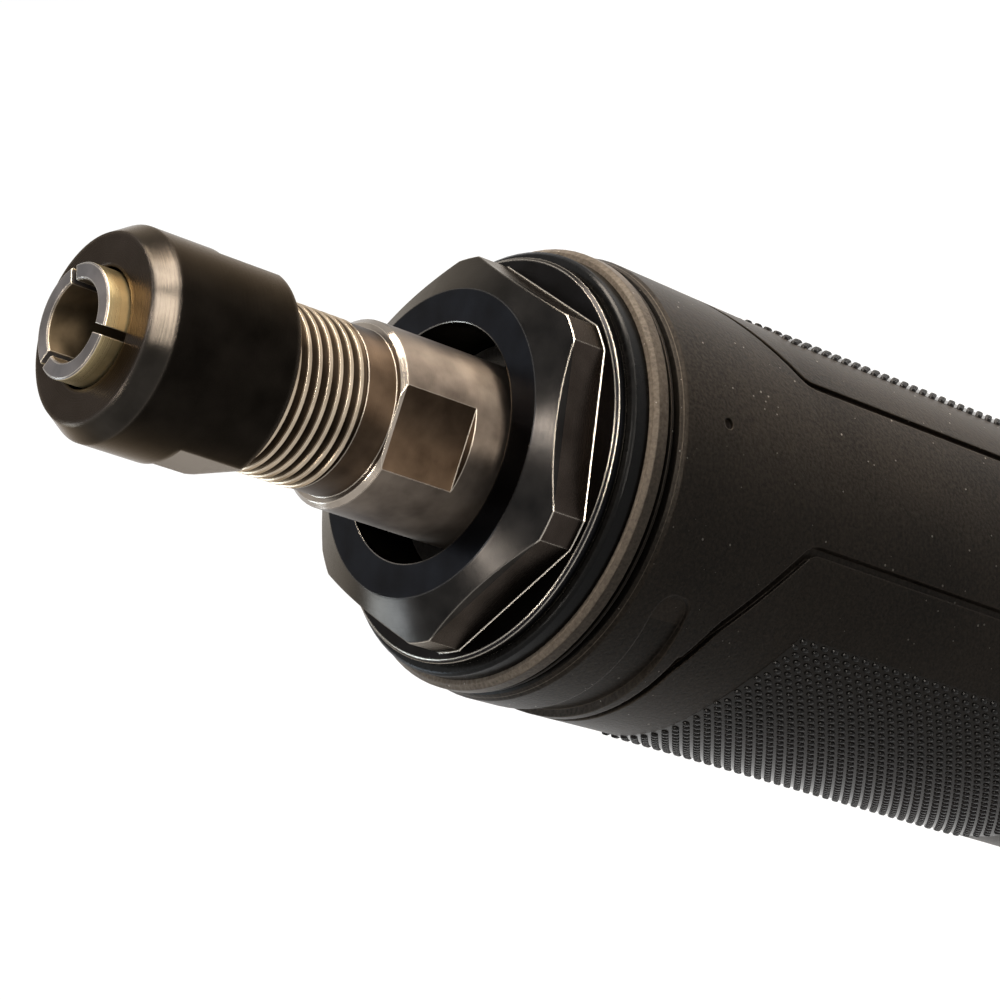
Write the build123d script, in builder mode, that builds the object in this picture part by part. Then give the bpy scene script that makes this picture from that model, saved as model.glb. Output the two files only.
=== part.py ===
from build123d import *
import os
from math import cos, pi, radians, sin, sqrt, tan

# A cordless straight grinder with a long neck, standing on its battery.
# +Z runs along the spindle and out of the collet. +X is the top of the tool, with the switch,
# and -X is its belly. The origin lies on the spindle axis, in the plane that the tool stands on.

os.makedirs("parts", exist_ok=True)

# Clearances
seat_gap = 0.02  # turned seats: bearings, shafts, spigots
lay_gap = 0.1  # faces that are clamped or laid together
slide_gap = 0.4  # faces that slide past each other
taper_gap = 0.05  # cone of the collet in the spindle and in the nut
mouth_gap = 0.3  # collet's lip in the nut's mouth, seal round the spindle
edge = 0.3  # broken edge of a turned part

# Battery pack
battery_length = 116.0
battery_width = 75.0
battery_height = 62.0
battery_middle = -8.0  # middle of the pack along X
battery_corner = 11.0
battery_wall = 2.4
battery_split = 36.0
battery_edge = 3.0
lid_edge = 1.5
finger_count = 5
finger_pitch = 5.0
finger_width = 2.4
finger_depth = 0.9
finger_x = -46.0  # middle of the finger grooves
finger_low = 12.0
finger_high = 52.0
battery_screw = 1.5
battery_screw_head = 2.7
battery_head_height = 3.0
battery_boss = 3.2
battery_boss_inset = 4.2  # from the inside of the wall
battery_screw_reach = 14.0  # into the lid
cell_radius = 9.2
cell_length = 65.2
cell_pitch = 19.0
cell_lift = 0.6  # under the lower row of cells
holder_width = 8.0
holder_inset = 4.0  # of the holder's outer face from the end of a cell
strip_width = 8.0
strip_corner = 3.0
strip_thickness = 0.3
board_thickness = 1.6
board_depth = 12.0  # of the battery board under the lid's top face
battery_board_length = 74.0
battery_board_width = 56.0
battery_board_x = -4.0
rail_web_half = 22.6
rail_web_height = 4.6
rail_flange_half = 26.8
rail_flange_height = 4.4
rail_start = -44.0
rail_end = 39.5
latch_length = 13.0
latch_width = 24.0
latch_depth = 9.0
latch_proud = 1.6
latch_travel = 4.0
latch_inset = 3.5  # of the latch from the end of the pack
latch_groove_count = 4
latch_groove_pitch = 3.0
latch_groove_width = 1.2
latch_groove_length = 16.8
latch_groove_depth = 0.5

# Battery terminals
blade_count = 4
blade_pitch = 9.0
blade_thickness = 0.8
blade_length = 12.0
blade_x = 4.0
blade_reach = 7.4  # below the roof of the rail channel
blade_seat = 4.0  # of the blade's top end below the floor of the housing
block_end = 4.0  # of the terminal block beyond the blades
block_side = 4.5
block_flange_end = 4.0
block_flange_side = 3.0
clip_gap = 0.3
clip_thickness = 0.5
clip_lift = 1.0  # of the clips above the lid's top face
clip_foot = 4.0
clip_drop = 1.0  # below the top of the rail
slot_half = 1.8
slot_floor = 0.8  # of the terminal slots above the lid's top face
slot_margin = 2.0
clip_hole_length = 5.0
clip_hole_width = 1.6

# Motor housing
housing_length = 166.0
housing_wall = 2.8
barrel_radius = 32.0
nose_edge = 1.0
foot_top = 44.0
foot_belly = 46.0
foot_half = 38.0
foot_corner = 24.0
foot_rise = 22.0  # straight part of the foot
flare_rise = 66.0  # from the foot to the round barrel
flare_radius = 54.0
floor_depth = 15.6
front_wall = 6.0
seam = 0.16
channel_end = 40.0
rib_width = 2.4
rib_overlap = 2.0  # of the ribs over the motor's end plates
rib_inset = 8.0  # of the stator's ribs from its ends
vent_width = 2.6
vent_length = 15.0
vent_depth = 4.4
vent_step = 13.0  # degrees between outlet slots
vent_count = 9
inlet_count = 6
inlet_pitch = 6.0
inlet_rise = 10.0  # of the inlets above the straight foot
grip_height = 52.0
grip_width = 40.0
grip_corner = 12.0
grip_proud = 0.7
grip_depth = 1.0
grip_x = -1.0
grip_drop = 8.0  # of the grip's middle below the start of the barrel

# Neck, sleeve and bearing cap
neck_length = 121.5
neck_radius = 19.8
neck_flange_radius = 28.5
neck_flange = 5.0
neck_bolt_circle = 24.0
neck_bolts = 4
neck_bolt_angle = 45.0  # of the first bolt, from +X
neck_front_land = 2.4  # shoulder behind the front bearing
neck_rear_land = 1.4  # shoulder before the rear bearing
collar_radius = 22.0  # of the neck's bare front end, before the sleeve
collar_length = 1.9
sleeve_radius = 22.7
sleeve_front_radius = 23.2
sleeve_lip_radius = 22.95
sleeve_lip = 3.3  # length of the ribbed lip
sleeve_lift = 0.5  # of the sleeve from the neck's rear face
sleeve_groove = 1.1
ridge_drop = 0.3  # of the ridge in the groove, below the lip
ridge_flank = 0.3
ridge_width = 0.25
sleeve_rib = 1.2
sleeve_edge = 0.4
sleeve_rim = 0.8
sleeve_nose = 0.45
guard_radius = 31.6
guard_depth = 12.0
guard_blend = 20.0
guard_gap = 0.5
guard_foot = 0.6
guard_edge = 2.0
panel_half_angle = 23.4
groove_width = 0.9
groove_depth = 0.7
groove_bend = 2.4
field_front_inset = 10.9  # of the textured field behind the ribbed lip
field_rear_inset = 3.0  # of the textured field before the guard's blend
field_slope = 9.2
field_half_angle = 65.0
field_turn = 3.0
field_turn_drop = 1.6
field_overrun = 0.2
field_overlap = 0.6
recess_inset = 3.3  # of the belly recess behind the ribbed lip
recess_height = 4.4
recess_start = 16.3  # from the spindle axis to the recess's round ends
recess_slope = 0.27
recess_corner = 1.6
recess_drop = 0.6
recess_centre = 2.2
gate_radius = 0.6
gate_depth = 0.1
gate_inset = 11.7  # of the gate dimple behind the neck's front face
cap_spigot = 8.0
cap_spigot_radius = 17.4
cap_flats = 36.0
cap_corner_radius = 19.95
cap_face_radius = 15.9
cap_height = 7.3
cap_chamfer = 2.1
cap_flange = 1.2
cap_flange_radius = 21.0
cap_bore = 12.4
cap_angle = 19.6  # of a flat, from +X
seal_height = 3.9

# Spindle, collet and collet nut
shoulder_reach = 18.36  # from the neck's front face to the shoulder
spindle_radius = 9.6
spindle_flats = 17.2
spindle_flat_length = 9.1  # from the shoulder, where the flats run out
spindle_flat_angle = 63.3
shaft_edge = 0.5
relief_length = 3.44
relief_radius = 8.5
thread_root = 7.9
thread_crest = 8.62
thread_bare = 9.48  # thread between the relief and the nut
thread_in_nut = 10.2
spindle_shaft = 7.2
spindle_tail = 5.0
shank_bore = 4.6
shank_depth = 28.0
tail_gap = 0.6  # behind the collet's tail
nut_length = 16.38
nut_radius = 10.6
nut_face_radius = 9.3
nut_bevel = 2.2
nut_edge = 0.4
nut_flats = 19.0
nut_flat_length = 7.4
nut_flat_angle = 165.0
lip_radius = 5.65
lip_length = 2.34
collet_bore = 4.0
collet_neck = 2.2  # from the nut's face to the collet's front cone
collet_shoulder = 6.9
collet_land = 1.7
collet_cone = 19.4
collet_tail = 5.1
collet_slots = 3
collet_slot = 0.85
collet_slot_angle = 1.5
collet_ring = 4.0  # unslit ring at the tail
collet_edge = 0.15

# Bearings: bore radius, outside radius and width
front_bearing = (7.5, 16.0, 9.0)
rear_bearing = (6.0, 14.0, 8.0)
motor_bearing = (4.0, 11.0, 7.0)
ball_share = 0.28  # ball radius over the height of the bearing's section
land_share = 0.2  # half the gap between the races, over the same height
ball_spacing = 3.2  # along the pitch circle, in ball radii
cage_gap = 0.12
cage_rim = 0.5
spacer_wall = 1.6
washer_thickness = 0.7
washer_width = 2.0
washer_gap = 0.2
preload_room = 2.0
circlip_width = 1.2
circlip_depth = 0.6
circlip_reach = 1.6
circlip_opening = 4.4

# Coupling, motor and fan
coupling_radius = 11.0
coupling_bore = 5.5
coupling_clear = 1.6
hub_length = 9.5
jaw_count = 3
jaw_length = 8.0
jaw_half_angle = 19.0
spider_half_angle = 9.5
rear_bearing_lift = 3.6  # above the neck's rear face
hub_clear = 2.6  # between the rear bearing and the coupling
motor_clear = 2.0  # along the axis between the parts of the motor
shield_radius = 28.4
shield_plate = 3.0
shield_hub = 14.0
shield_rim = 0.6
shield_land = 3.0
fan_radius = 24.0
fan_height = 10.0
fan_plate = 1.6
fan_blades = 11
fan_hub = 9.0
fan_hub_top = 7.0
fan_blade_start = 8.2
stator_radius = 25.5
stator_bore = 13.3
stator_yoke = 5.2
tooth_count = 6
tooth_width = 6.0
tooth_shoe = 1.6
shoe_half_angle = 22.0
coil_width = 2.5
coil_overhang = 4.5
coil_lift = 2.0  # of the coils from the stator's bore
rotor_radius = 12.7
magnet_thickness = 1.9
magnet_count = 4
magnet_half_angle = 41.0
bracket_hub = 13.5
bracket_plate = 3.0
bracket_clear = 5.4
bracket_rim = 1.0
bracket_bore = 5.0
bracket_windows = 3
window_half_angle = 34.0
window_angle = 60.0  # of the first window, from +X
window_inner = 15.1
window_outer = 22.5
shaft_tail = 1.5  # of the motor shaft below the rear bearing

# Switch, speed dial and control board
knob_length = 28.0
knob_half = 8.0
knob_thickness = 3.4
knob_ribs = 4
knob_rib_pitch = 5.1
knob_rib_width = 2.2
knob_rib_length = 13.6
knob_rib_height = 0.9
knob_edge = 0.5
switch_travel = 8.0
stem_length = 12.0
stem_half = 3.8
stem_inset = 8.0
stem_clear = 5.5  # below the motor's shield, with the switch pushed on
rod_thickness = 2.2
rod_half = 4.6
rod_corner = 2.0
rod_clear = 0.7
rod_overhang = 1.5
dial_radius = 11.0
dial_width = 7.0
dial_proud = 2.4
dial_rise = 37.0  # of the dial's axle above the foot
dial_pin = 2.0
knurl_count = 24
knurl_radius = 0.7
knurl_offset = 0.3
dial_band = 3.4  # plain middle of the dial's rim
switch_board_x = 23.0
switch_board_y = 12.0
switch_board_width = 15.0
switch_board_drop = 9.0  # below the dial's axle
board_post = 2.5
board_posts = ((19.0, -5.0), (27.0, 6.0))  # X, and height from the dial's axle
microswitch_x = 22.0
microswitch_width = 12.0
microswitch_height = 15.0
microswitch_gap = 2.4
pot_size = 7.0
pot_shift = -1.5
module_lift = 10.0  # above the floor of the housing
module_x = -8.0
module_size = 44.0
module_corner = 3.0
module_height = 15.0
module_clear = 13.1  # above the control module

# Screws
screw_radius = 2.0
screw_head = 3.6
screw_head_height = 2.6
screw_socket = 1.6
screw_socket_depth = 1.3
screw_bite = 13.0  # past the seam, into the right half
neck_screw_bite = 6.0  # past the housing's front wall
boss_radius = 4.2
boss_floor = 2.0
head_room = 1.0
front_screw_x = 22.0
front_screw_rise = 11.5
front_screw_seat = 17.0
middle_screw_x = -29.0
middle_screw_drop = 8.2
middle_screw_seat = 19.0
foot_screw_x = 36.0
foot_screw_belly_rise = 8.0
foot_screw_top_rise = 5.4
foot_screw_seat = 26.0

# Stations along the spindle axis, from the base up
split_top = battery_split + lay_gap
lid_roof = battery_height - battery_wall
rail_step = battery_height + rail_web_height
rail_top = rail_step + rail_flange_height
foot_z = battery_height + slide_gap
floor_z = foot_z + floor_depth
nose_z = foot_z + housing_length
wall_z = nose_z - front_wall
neck_rear = nose_z + lay_gap
neck_front = neck_rear + neck_length
cap_face = neck_front + cap_height
shoulder_z = neck_front + shoulder_reach
relief_z = shoulder_z + relief_length
nut_rear = relief_z + thread_bare
nut_face = nut_rear + nut_length
lip_z = nut_face + lip_length
front_bearing_z = neck_front - cap_spigot - front_bearing[2]
rear_bearing_z = neck_rear + rear_bearing_lift
hub_top = rear_bearing_z - hub_clear
jaw_top = hub_top - hub_length
jaw_end = jaw_top - jaw_length
hub_end = jaw_end - hub_length
shield_bearing_z = hub_end - motor_clear - motor_bearing[2]
shield_z = shield_bearing_z - motor_clear
fan_z = shield_z - motor_clear - fan_height
stator_top = fan_z - motor_clear - coil_overhang
module_z = floor_z + module_lift
bracket_z = module_z + module_height + module_clear
bracket_bearing_z = bracket_z + motor_clear
bracket_top = bracket_bearing_z + motor_bearing[2] + bracket_rim
stator_z = bracket_bearing_z + motor_bearing[2] + bracket_clear + coil_overhang
stator_length = stator_top - stator_z


def outline(*points):
    """A closed outline of (radius, height) points, to be turned about the spindle axis."""
    with BuildSketch(Plane.XZ) as profile:
        with BuildLine():
            Polyline(*points, close=True)
        make_face()
    return profile.sketch


def tube(inner, outer, low, high):
    """The outline of a plain ring between two radii and two heights."""
    return outline((inner, low), (outer, low), (outer, high), (inner, high))


def sectors(count, half_angle, first_angle, inner, outer, height):
    """Evenly spaced sectors of a flat ring at the given height."""
    spread = tan(radians(half_angle))
    near, past = inner / 2, outer * 2
    with BuildSketch(Plane.XY.offset(height)) as ring:
        with PolarLocations(0, count, start_angle=first_angle):
            Polygon(
                (near, -near * spread),
                (past, -past * spread),
                (past, past * spread),
                (near, near * spread),
                align=None,
            )
        Circle(outer, mode=Mode.INTERSECT)
        Circle(inner, mode=Mode.SUBTRACT)
    return ring.sketch


def save(piece, name):
    """Name a finished piece and write it out."""
    piece.part.label = name
    export_step(piece.part, f"parts/{name}.step")


# Collet: a slit steel cone that closes on the tool's shank when the nut draws it in.
collet_neck_z = nut_face - collet_neck
collet_shoulder_z = collet_neck_z - (collet_shoulder - lip_radius)
collet_cone_z = collet_shoulder_z - collet_land
collet_tail_z = collet_cone_z - collet_cone
with BuildPart() as collet:
    revolve(
        outline(
            (collet_bore, collet_tail_z),
            (collet_tail, collet_tail_z),
            (collet_shoulder, collet_cone_z),
            (collet_shoulder, collet_shoulder_z),
            (lip_radius, collet_neck_z),
            (lip_radius, lip_z - collet_edge),
            (lip_radius - collet_edge, lip_z),
            (collet_bore + collet_edge, lip_z),
            (collet_bore, lip_z - collet_edge),
        ),
        axis=Axis.Z,
    )
    with BuildSketch(Plane.XY.offset(collet_tail_z + collet_ring)):
        with PolarLocations(collet_bore / 2, collet_slots, start_angle=collet_slot_angle):
            Rectangle(2 * collet_shoulder, collet_slot, align=(Align.MIN, Align.CENTER))
    extrude(until=Until.LAST, mode=Mode.SUBTRACT)
save(collet, "collet")

# Collet nut: black steel, with a bevelled nose and two spanner flats at its rear.
nut_mouth = lip_radius + mouth_gap
nut_cone_z = collet_neck_z + taper_gap
nut_chamber = collet_shoulder + slide_gap
nut_chamber_z = nut_cone_z + nut_mouth - nut_chamber
nut_thread = thread_crest + lay_gap
nut_thread_z = nut_rear + thread_in_nut + slide_gap
with BuildPart() as collet_nut:
    revolve(
        outline(
            (nut_thread, nut_rear),
            (nut_radius - nut_edge, nut_rear),
            (nut_radius, nut_rear + nut_edge),
            (nut_radius, nut_face - nut_bevel),
            (nut_face_radius, nut_face),
            (nut_mouth, nut_face),
            (nut_mouth, nut_cone_z),
            (nut_chamber, nut_chamber_z),
            (nut_chamber, nut_thread_z),
            (nut_thread, nut_thread_z),
        ),
        axis=Axis.Z,
    )
    with BuildSketch(Plane.XY.offset(nut_rear)):
        with PolarLocations(nut_flats / 2, 2, start_angle=nut_flat_angle):
            Rectangle(nut_radius, 2 * nut_radius, align=(Align.MIN, Align.CENTER))
    extrude(amount=nut_flat_length, mode=Mode.SUBTRACT)
save(collet_nut, "collet_nut")

# Spindle: one turned shaft from the collet seat to the coupling, with two flats behind the thread.
spindle_front = nut_rear + thread_in_nut
seat_slope = (collet_shoulder - collet_tail) / collet_cone
seat_end = collet_tail_z - tail_gap
seat_mouth = collet_tail + seat_slope * (spindle_front - collet_tail_z) + taper_gap
seat_tail = collet_tail + seat_slope * (seat_end - collet_tail_z) + taper_gap
spindle_step = front_bearing_z + front_bearing[2] + lay_gap / 2
rear_step = rear_bearing_z + rear_bearing[2] + slide_gap
rear_seat = rear_bearing[0] - seat_gap
front_seat = front_bearing[0] - seat_gap
circlip_top = rear_bearing_z - lay_gap / 2
circlip_z = circlip_top - circlip_width
circlip_floor = rear_bearing[0] - circlip_depth
with BuildPart() as spindle:
    revolve(
        outline(
            (0, jaw_top + slide_gap),
            (spindle_tail, jaw_top + slide_gap),
            (spindle_tail, hub_top + slide_gap),
            (rear_seat, hub_top + slide_gap),
            (rear_seat, circlip_z),
            (circlip_floor, circlip_z),
            (circlip_floor, circlip_top),
            (rear_seat, circlip_top),
            (rear_seat, rear_step),
            (spindle_shaft, rear_step),
            (spindle_shaft, front_bearing_z + lay_gap),
            (front_seat, front_bearing_z + lay_gap),
            (front_seat, spindle_step),
            (spindle_radius, spindle_step),
            (spindle_radius, shoulder_z - shaft_edge),
            (spindle_radius - shaft_edge, shoulder_z),
            (relief_radius, shoulder_z),
            (relief_radius, relief_z),
            (thread_root, relief_z),
            (thread_root, spindle_front - shaft_edge),
            (thread_root - shaft_edge, spindle_front),
            (seat_mouth, spindle_front),
            (seat_tail, seat_end),
            (shank_bore, seat_end),
            (shank_bore, seat_end - shank_depth),
            (0, seat_end - shank_depth - shank_bore / 2),
        ),
        axis=Axis.Z,
    )
    with BuildSketch(Plane.XY.offset(shoulder_z - spindle_flat_length)):
        with PolarLocations(spindle_flats / 2, 2, start_angle=spindle_flat_angle):
            Rectangle(spindle_radius, 2 * spindle_radius, align=(Align.MIN, Align.CENTER))
    extrude(amount=spindle_flat_length + relief_length / 2, mode=Mode.SUBTRACT)
save(spindle, "spindle")

# Bearing cap: a hexagon nut with a round flange, screwed into the neck to hold the front bearing.
cap_base = neck_front + lay_gap
cap_step = neck_front - cap_spigot / 2
cap_rear = neck_front - cap_spigot + lay_gap
with BuildPart() as bearing_cap:
    with BuildSketch(Plane.XY.offset(cap_base)):
        RegularPolygon(cap_flats / 2, 6, major_radius=False, rotation=cap_angle - 30)
    extrude(amount=cap_face - cap_base)
    revolve(
        outline(
            (0, cap_base),
            (cap_corner_radius, cap_base),
            (cap_corner_radius, cap_face - cap_chamfer),
            (cap_face_radius, cap_face),
            (0, cap_face),
        ),
        axis=Axis.Z,
        mode=Mode.INTERSECT,
    )
    revolve(
        outline(
            (0, cap_rear),
            (cap_spigot_radius, cap_rear),
            (cap_spigot_radius, cap_base),
            (cap_flange_radius, cap_base),
            (cap_flange_radius, cap_base + cap_flange - edge),
            (cap_flange_radius - edge, cap_base + cap_flange),
            (0, cap_base + cap_flange),
        ),
        axis=Axis.Z,
    )
    revolve(tube(0, cap_bore, cap_step, cap_face), axis=Axis.Z, mode=Mode.SUBTRACT)
    revolve(
        tube(0, spindle_radius + slide_gap, neck_front - cap_spigot, cap_step),
        axis=Axis.Z,
        mode=Mode.SUBTRACT,
    )
save(bearing_cap, "bearing_cap")

# Dust seal: a felt ring in the bore of the cap, just clear of the spindle.
seal_z = cap_step + lay_gap
with BuildPart() as dust_seal:
    revolve(
        tube(spindle_radius + mouth_gap, cap_bore - lay_gap, seal_z, seal_z + seal_height),
        axis=Axis.Z,
    )
save(dust_seal, "dust_seal")

# Neck: an aluminium tube that carries both spindle bearings, with a flange bolted to the housing
# and a bare collar in front of the rubber sleeve.
neck_seat = rear_bearing_z + rear_bearing[2] + preload_room
flange_z = neck_rear + neck_flange
collar_z = neck_front - collar_length
with BuildPart() as neck:
    revolve(
        outline(
            (rear_bearing[1] + seat_gap, neck_rear),
            (neck_flange_radius, neck_rear),
            (neck_flange_radius, flange_z),
            (neck_radius, flange_z),
            (neck_radius, collar_z),
            (collar_radius, collar_z),
            (collar_radius, neck_front - edge),
            (collar_radius - edge, neck_front),
            (cap_spigot_radius + lay_gap, neck_front),
            (cap_spigot_radius + lay_gap, front_bearing_z + front_bearing[2]),
            (front_bearing[1] + seat_gap, front_bearing_z + front_bearing[2]),
            (front_bearing[1] + seat_gap, front_bearing_z),
            (front_bearing[1] - neck_front_land, front_bearing_z),
            (rear_bearing[1] - neck_rear_land, neck_seat),
            (rear_bearing[1] + seat_gap, neck_seat),
        ),
        axis=Axis.Z,
    )
    with Locations((0, 0, flange_z)):
        with PolarLocations(neck_bolt_circle, neck_bolts, start_angle=neck_bolt_angle):
            Hole(screw_radius + lay_gap, depth=neck_flange)
save(neck, "neck")

# Rubber sleeve: a ribbed lip at the front, grooved panels along the hand grip, and a finger guard.
sleeve_front = collar_z - lay_gap
sleeve_step = sleeve_front - sleeve_lip
sleeve_rear = neck_rear + sleeve_lift
groove_floor = sleeve_lip_radius - sleeve_groove
ridge_rear = sleeve_step + sleeve_edge + ridge_flank
groove_front = ridge_rear + ridge_width + ridge_flank
rib_rear = groove_front + sleeve_edge
guard_top = sleeve_rear + guard_depth
guard_inner = neck_flange_radius + guard_gap
blend_end = (sleeve_radius, guard_top + guard_blend)
blend_start = (guard_radius - guard_edge, guard_top)
sleeve_room = flange_z + lay_gap + screw_head_height + head_room
field_front = sleeve_step - field_front_inset
field_rear = guard_top + guard_blend + field_rear_inset
field_side = sleeve_radius * sin(radians(field_half_angle))
panel_edge = sleeve_radius * sin(radians(panel_half_angle))
with BuildPart() as panel_grooves:
    with BuildSketch(Plane.XZ):
        with BuildLine():
            FilletPolyline(
                (-field_side - field_overrun, field_front),
                (-field_side + field_turn, field_front - field_turn_drop),
                (-panel_edge, field_front - field_slope),
                (-panel_edge, field_rear + field_slope),
                (-field_side + field_turn, field_rear + field_turn_drop),
                (-field_side - field_overrun, field_rear),
                radius=groove_bend,
            )
        trace(line_width=groove_width)
    extrude(amount=guard_radius, both=True)
    with Locations((field_overlap - field_side - guard_radius / 2, 0, 0)):
        for height in (field_front, field_rear):
            with Locations((0, 0, height)):
                Box(guard_radius, guard_radius * 2, groove_width)
    mirror(about=Plane.YZ)
    revolve(
        tube(sleeve_radius - groove_depth, guard_radius, guard_top + guard_blend, sleeve_step),
        axis=Axis.Z,
        mode=Mode.INTERSECT,
    )
# Recess across the belly with rounded ends, behind the lip
recess_top = sleeve_step - recess_inset
recess_far = recess_top - recess_slope * (guard_radius - recess_start)
with BuildPart() as belly_recess:
    with BuildSketch(Plane.XZ):
        with BuildLine():
            FilletPolyline(
                (-recess_start, recess_top),
                (-guard_radius, recess_far),
                (-guard_radius, recess_far - recess_height),
                (-recess_start, recess_top - recess_height),
                radius=recess_corner,
                close=True,
            )
        make_face()
    extrude(amount=guard_radius, both=True)
    with Locations((recess_centre, 0, recess_top)):
        Cylinder(
            sleeve_radius - recess_drop + recess_centre,
            2 * guard_radius,
            mode=Mode.SUBTRACT,
        )
with BuildPart() as rubber_sleeve:
    with BuildSketch(Plane.XZ):
        with BuildLine():
            Polyline(
                blend_end,
                (sleeve_radius, field_front - field_slope),
                (sleeve_front_radius, sleeve_step - sleeve_rim),
                (sleeve_front_radius - sleeve_edge, sleeve_step),
                (groove_floor, sleeve_step + sleeve_edge),
                (sleeve_lip_radius - ridge_drop, ridge_rear),
                (sleeve_lip_radius - ridge_drop, ridge_rear + ridge_width),
                (groove_floor, groove_front),
                (sleeve_lip_radius, rib_rear),
                (sleeve_lip_radius, rib_rear + sleeve_rib),
                (sleeve_lip_radius - sleeve_nose, sleeve_front),
                (neck_radius + seat_gap, sleeve_front),
                (neck_radius + seat_gap, sleeve_room),
                (guard_inner, sleeve_room),
                (guard_inner, sleeve_rear),
                (guard_radius - guard_foot, sleeve_rear),
                (guard_radius, sleeve_rear + guard_foot),
                (guard_radius, guard_top - guard_edge),
                blend_start,
            )
            TangentArc(blend_end, blend_start, tangent=(0, -1))
        make_face()
    revolve(axis=Axis.Z)
    add(panel_grooves.part, mode=Mode.SUBTRACT)
    add(belly_recess.part, mode=Mode.SUBTRACT)
    # Dimple left by the mould's gate
    with BuildSketch(Plane.XZ.offset(sleeve_radius - gate_depth)):
        with Locations((0, neck_front - gate_inset)):
            Circle(gate_radius)
    extrude(amount=guard_radius, mode=Mode.SUBTRACT)
save(rubber_sleeve, "rubber_sleeve")


def ball_bearing(name, sizes, rear):
    """A deep-groove ball bearing: two races, and the balls in their cage."""
    bore, outside, width = sizes
    section = outside - bore
    pitch = (outside + bore) / 2
    middle = rear + width / 2
    ball = ball_share * section
    land = land_share * section
    count = int(2 * pi * pitch / (ball_spacing * ball))
    with BuildPart() as inner_race:
        revolve(tube(bore, pitch - land, rear, rear + width), axis=Axis.Z)
        with BuildSketch(Plane.XZ):
            with Locations((pitch, middle)):
                Circle(ball + seat_gap)
        revolve(axis=Axis.Z, mode=Mode.SUBTRACT)
    save(inner_race, f"{name}_inner_race")
    with BuildPart() as outer_race:
        revolve(tube(pitch + land, outside, rear, rear + width), axis=Axis.Z)
        with BuildSketch(Plane.XZ):
            with Locations((pitch, middle)):
                Circle(ball + seat_gap)
        revolve(axis=Axis.Z, mode=Mode.SUBTRACT)
    save(outer_race, f"{name}_outer_race")
    cage_half = ball + cage_rim
    with BuildPart() as balls:
        revolve(
            tube(pitch - land / 2, pitch + land / 2, middle - cage_half, middle + cage_half),
            axis=Axis.Z,
        )
        with Locations((0, 0, middle)):
            with PolarLocations(pitch, count):
                Cylinder(ball + cage_gap, section, rotation=(0, 90, 0), mode=Mode.SUBTRACT)
                Sphere(ball)
    save(balls, f"{name}_balls")


ball_bearing("front_bearing", front_bearing, front_bearing_z)
ball_bearing("rear_bearing", rear_bearing, rear_bearing_z)
ball_bearing("motor_front_bearing", motor_bearing, shield_bearing_z)
ball_bearing("motor_rear_bearing", motor_bearing, bracket_bearing_z)

# Spacer tube on the spindle, between the inner races.
with BuildPart() as spacer_tube:
    revolve(
        tube(
            spindle_shaft + lay_gap,
            spindle_shaft + spacer_wall,
            rear_bearing_z + rear_bearing[2] + lay_gap / 2,
            front_bearing_z - lay_gap / 2,
        ),
        axis=Axis.Z,
    )
save(spacer_tube, "spacer_tube")

# Preload washer: a disc spring between the neck's shoulder and the rear outer race.
washer_low = rear_bearing_z + rear_bearing[2] + lay_gap
washer_high = neck_seat - lay_gap
washer_outer = rear_bearing[1] - washer_gap
with BuildPart() as preload_washer:
    revolve(
        outline(
            (washer_outer, washer_low),
            (washer_outer, washer_low + washer_thickness),
            (washer_outer - washer_width, washer_high),
            (washer_outer - washer_width, washer_high - washer_thickness),
        ),
        axis=Axis.Z,
    )
save(preload_washer, "preload_washer")

# Circlip: an open ring in the spindle's groove, behind the rear bearing.
with BuildPart() as circlip:
    revolve(
        tube(
            circlip_floor + seat_gap,
            rear_bearing[0] + circlip_reach,
            circlip_z + seat_gap,
            circlip_top - seat_gap,
        ),
        axis=Axis.Z,
    )
    with Locations((rear_bearing[0], 0, circlip_z)):
        Box(rear_bearing[0], circlip_opening, rear_bearing[0], mode=Mode.SUBTRACT)
save(circlip, "circlip")

# Jaw coupling: a hub on the spindle, a hub on the motor shaft and a rubber spider between their jaws.
jaw_step = 180 / jaw_count
with BuildPart() as spindle_hub:
    revolve(tube(spindle_tail + seat_gap, coupling_radius, jaw_top, hub_top), axis=Axis.Z)
    extrude(
        sectors(jaw_count, jaw_half_angle, 0, coupling_bore, coupling_radius, jaw_end + slide_gap),
        amount=jaw_length - slide_gap,
    )
save(spindle_hub, "spindle_hub")
with BuildPart() as motor_hub:
    revolve(
        tube(motor_bearing[0] + seat_gap, coupling_radius, hub_end, jaw_end),
        axis=Axis.Z,
    )
    extrude(
        sectors(jaw_count, jaw_half_angle, jaw_step, coupling_bore, coupling_radius, jaw_end),
        amount=jaw_length - slide_gap,
    )
save(motor_hub, "motor_hub")
spider_z = jaw_end + slide_gap
spider_bore = coupling_bore / 2
with BuildPart() as coupling_spider:
    extrude(
        sectors(
            2 * jaw_count,
            spider_half_angle,
            jaw_step / 2,
            spider_bore,
            coupling_radius,
            spider_z,
        ),
        amount=jaw_length - 2 * slide_gap,
    )
    revolve(
        tube(spider_bore, coupling_bore - lay_gap, spider_z, jaw_top - slide_gap),
        axis=Axis.Z,
    )
save(coupling_spider, "coupling_spider")

# Motor shaft, with the rotor core and its magnets.
shaft_seat = motor_bearing[0] + seat_gap
core_radius = rotor_radius - magnet_thickness
with BuildPart() as motor_shaft:
    revolve(
        tube(
            0,
            motor_bearing[0] - seat_gap,
            bracket_bearing_z - shaft_tail,
            jaw_end - slide_gap,
        ),
        axis=Axis.Z,
    )
save(motor_shaft, "motor_shaft")
with BuildPart() as rotor_core:
    revolve(tube(shaft_seat, core_radius, stator_z, stator_top), axis=Axis.Z)
save(rotor_core, "rotor_core")
with BuildPart() as rotor_magnets:
    extrude(
        sectors(
            magnet_count, magnet_half_angle, 0, core_radius + seat_gap, rotor_radius, stator_z
        ),
        amount=stator_length,
    )
save(rotor_magnets, "rotor_magnets")

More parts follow.
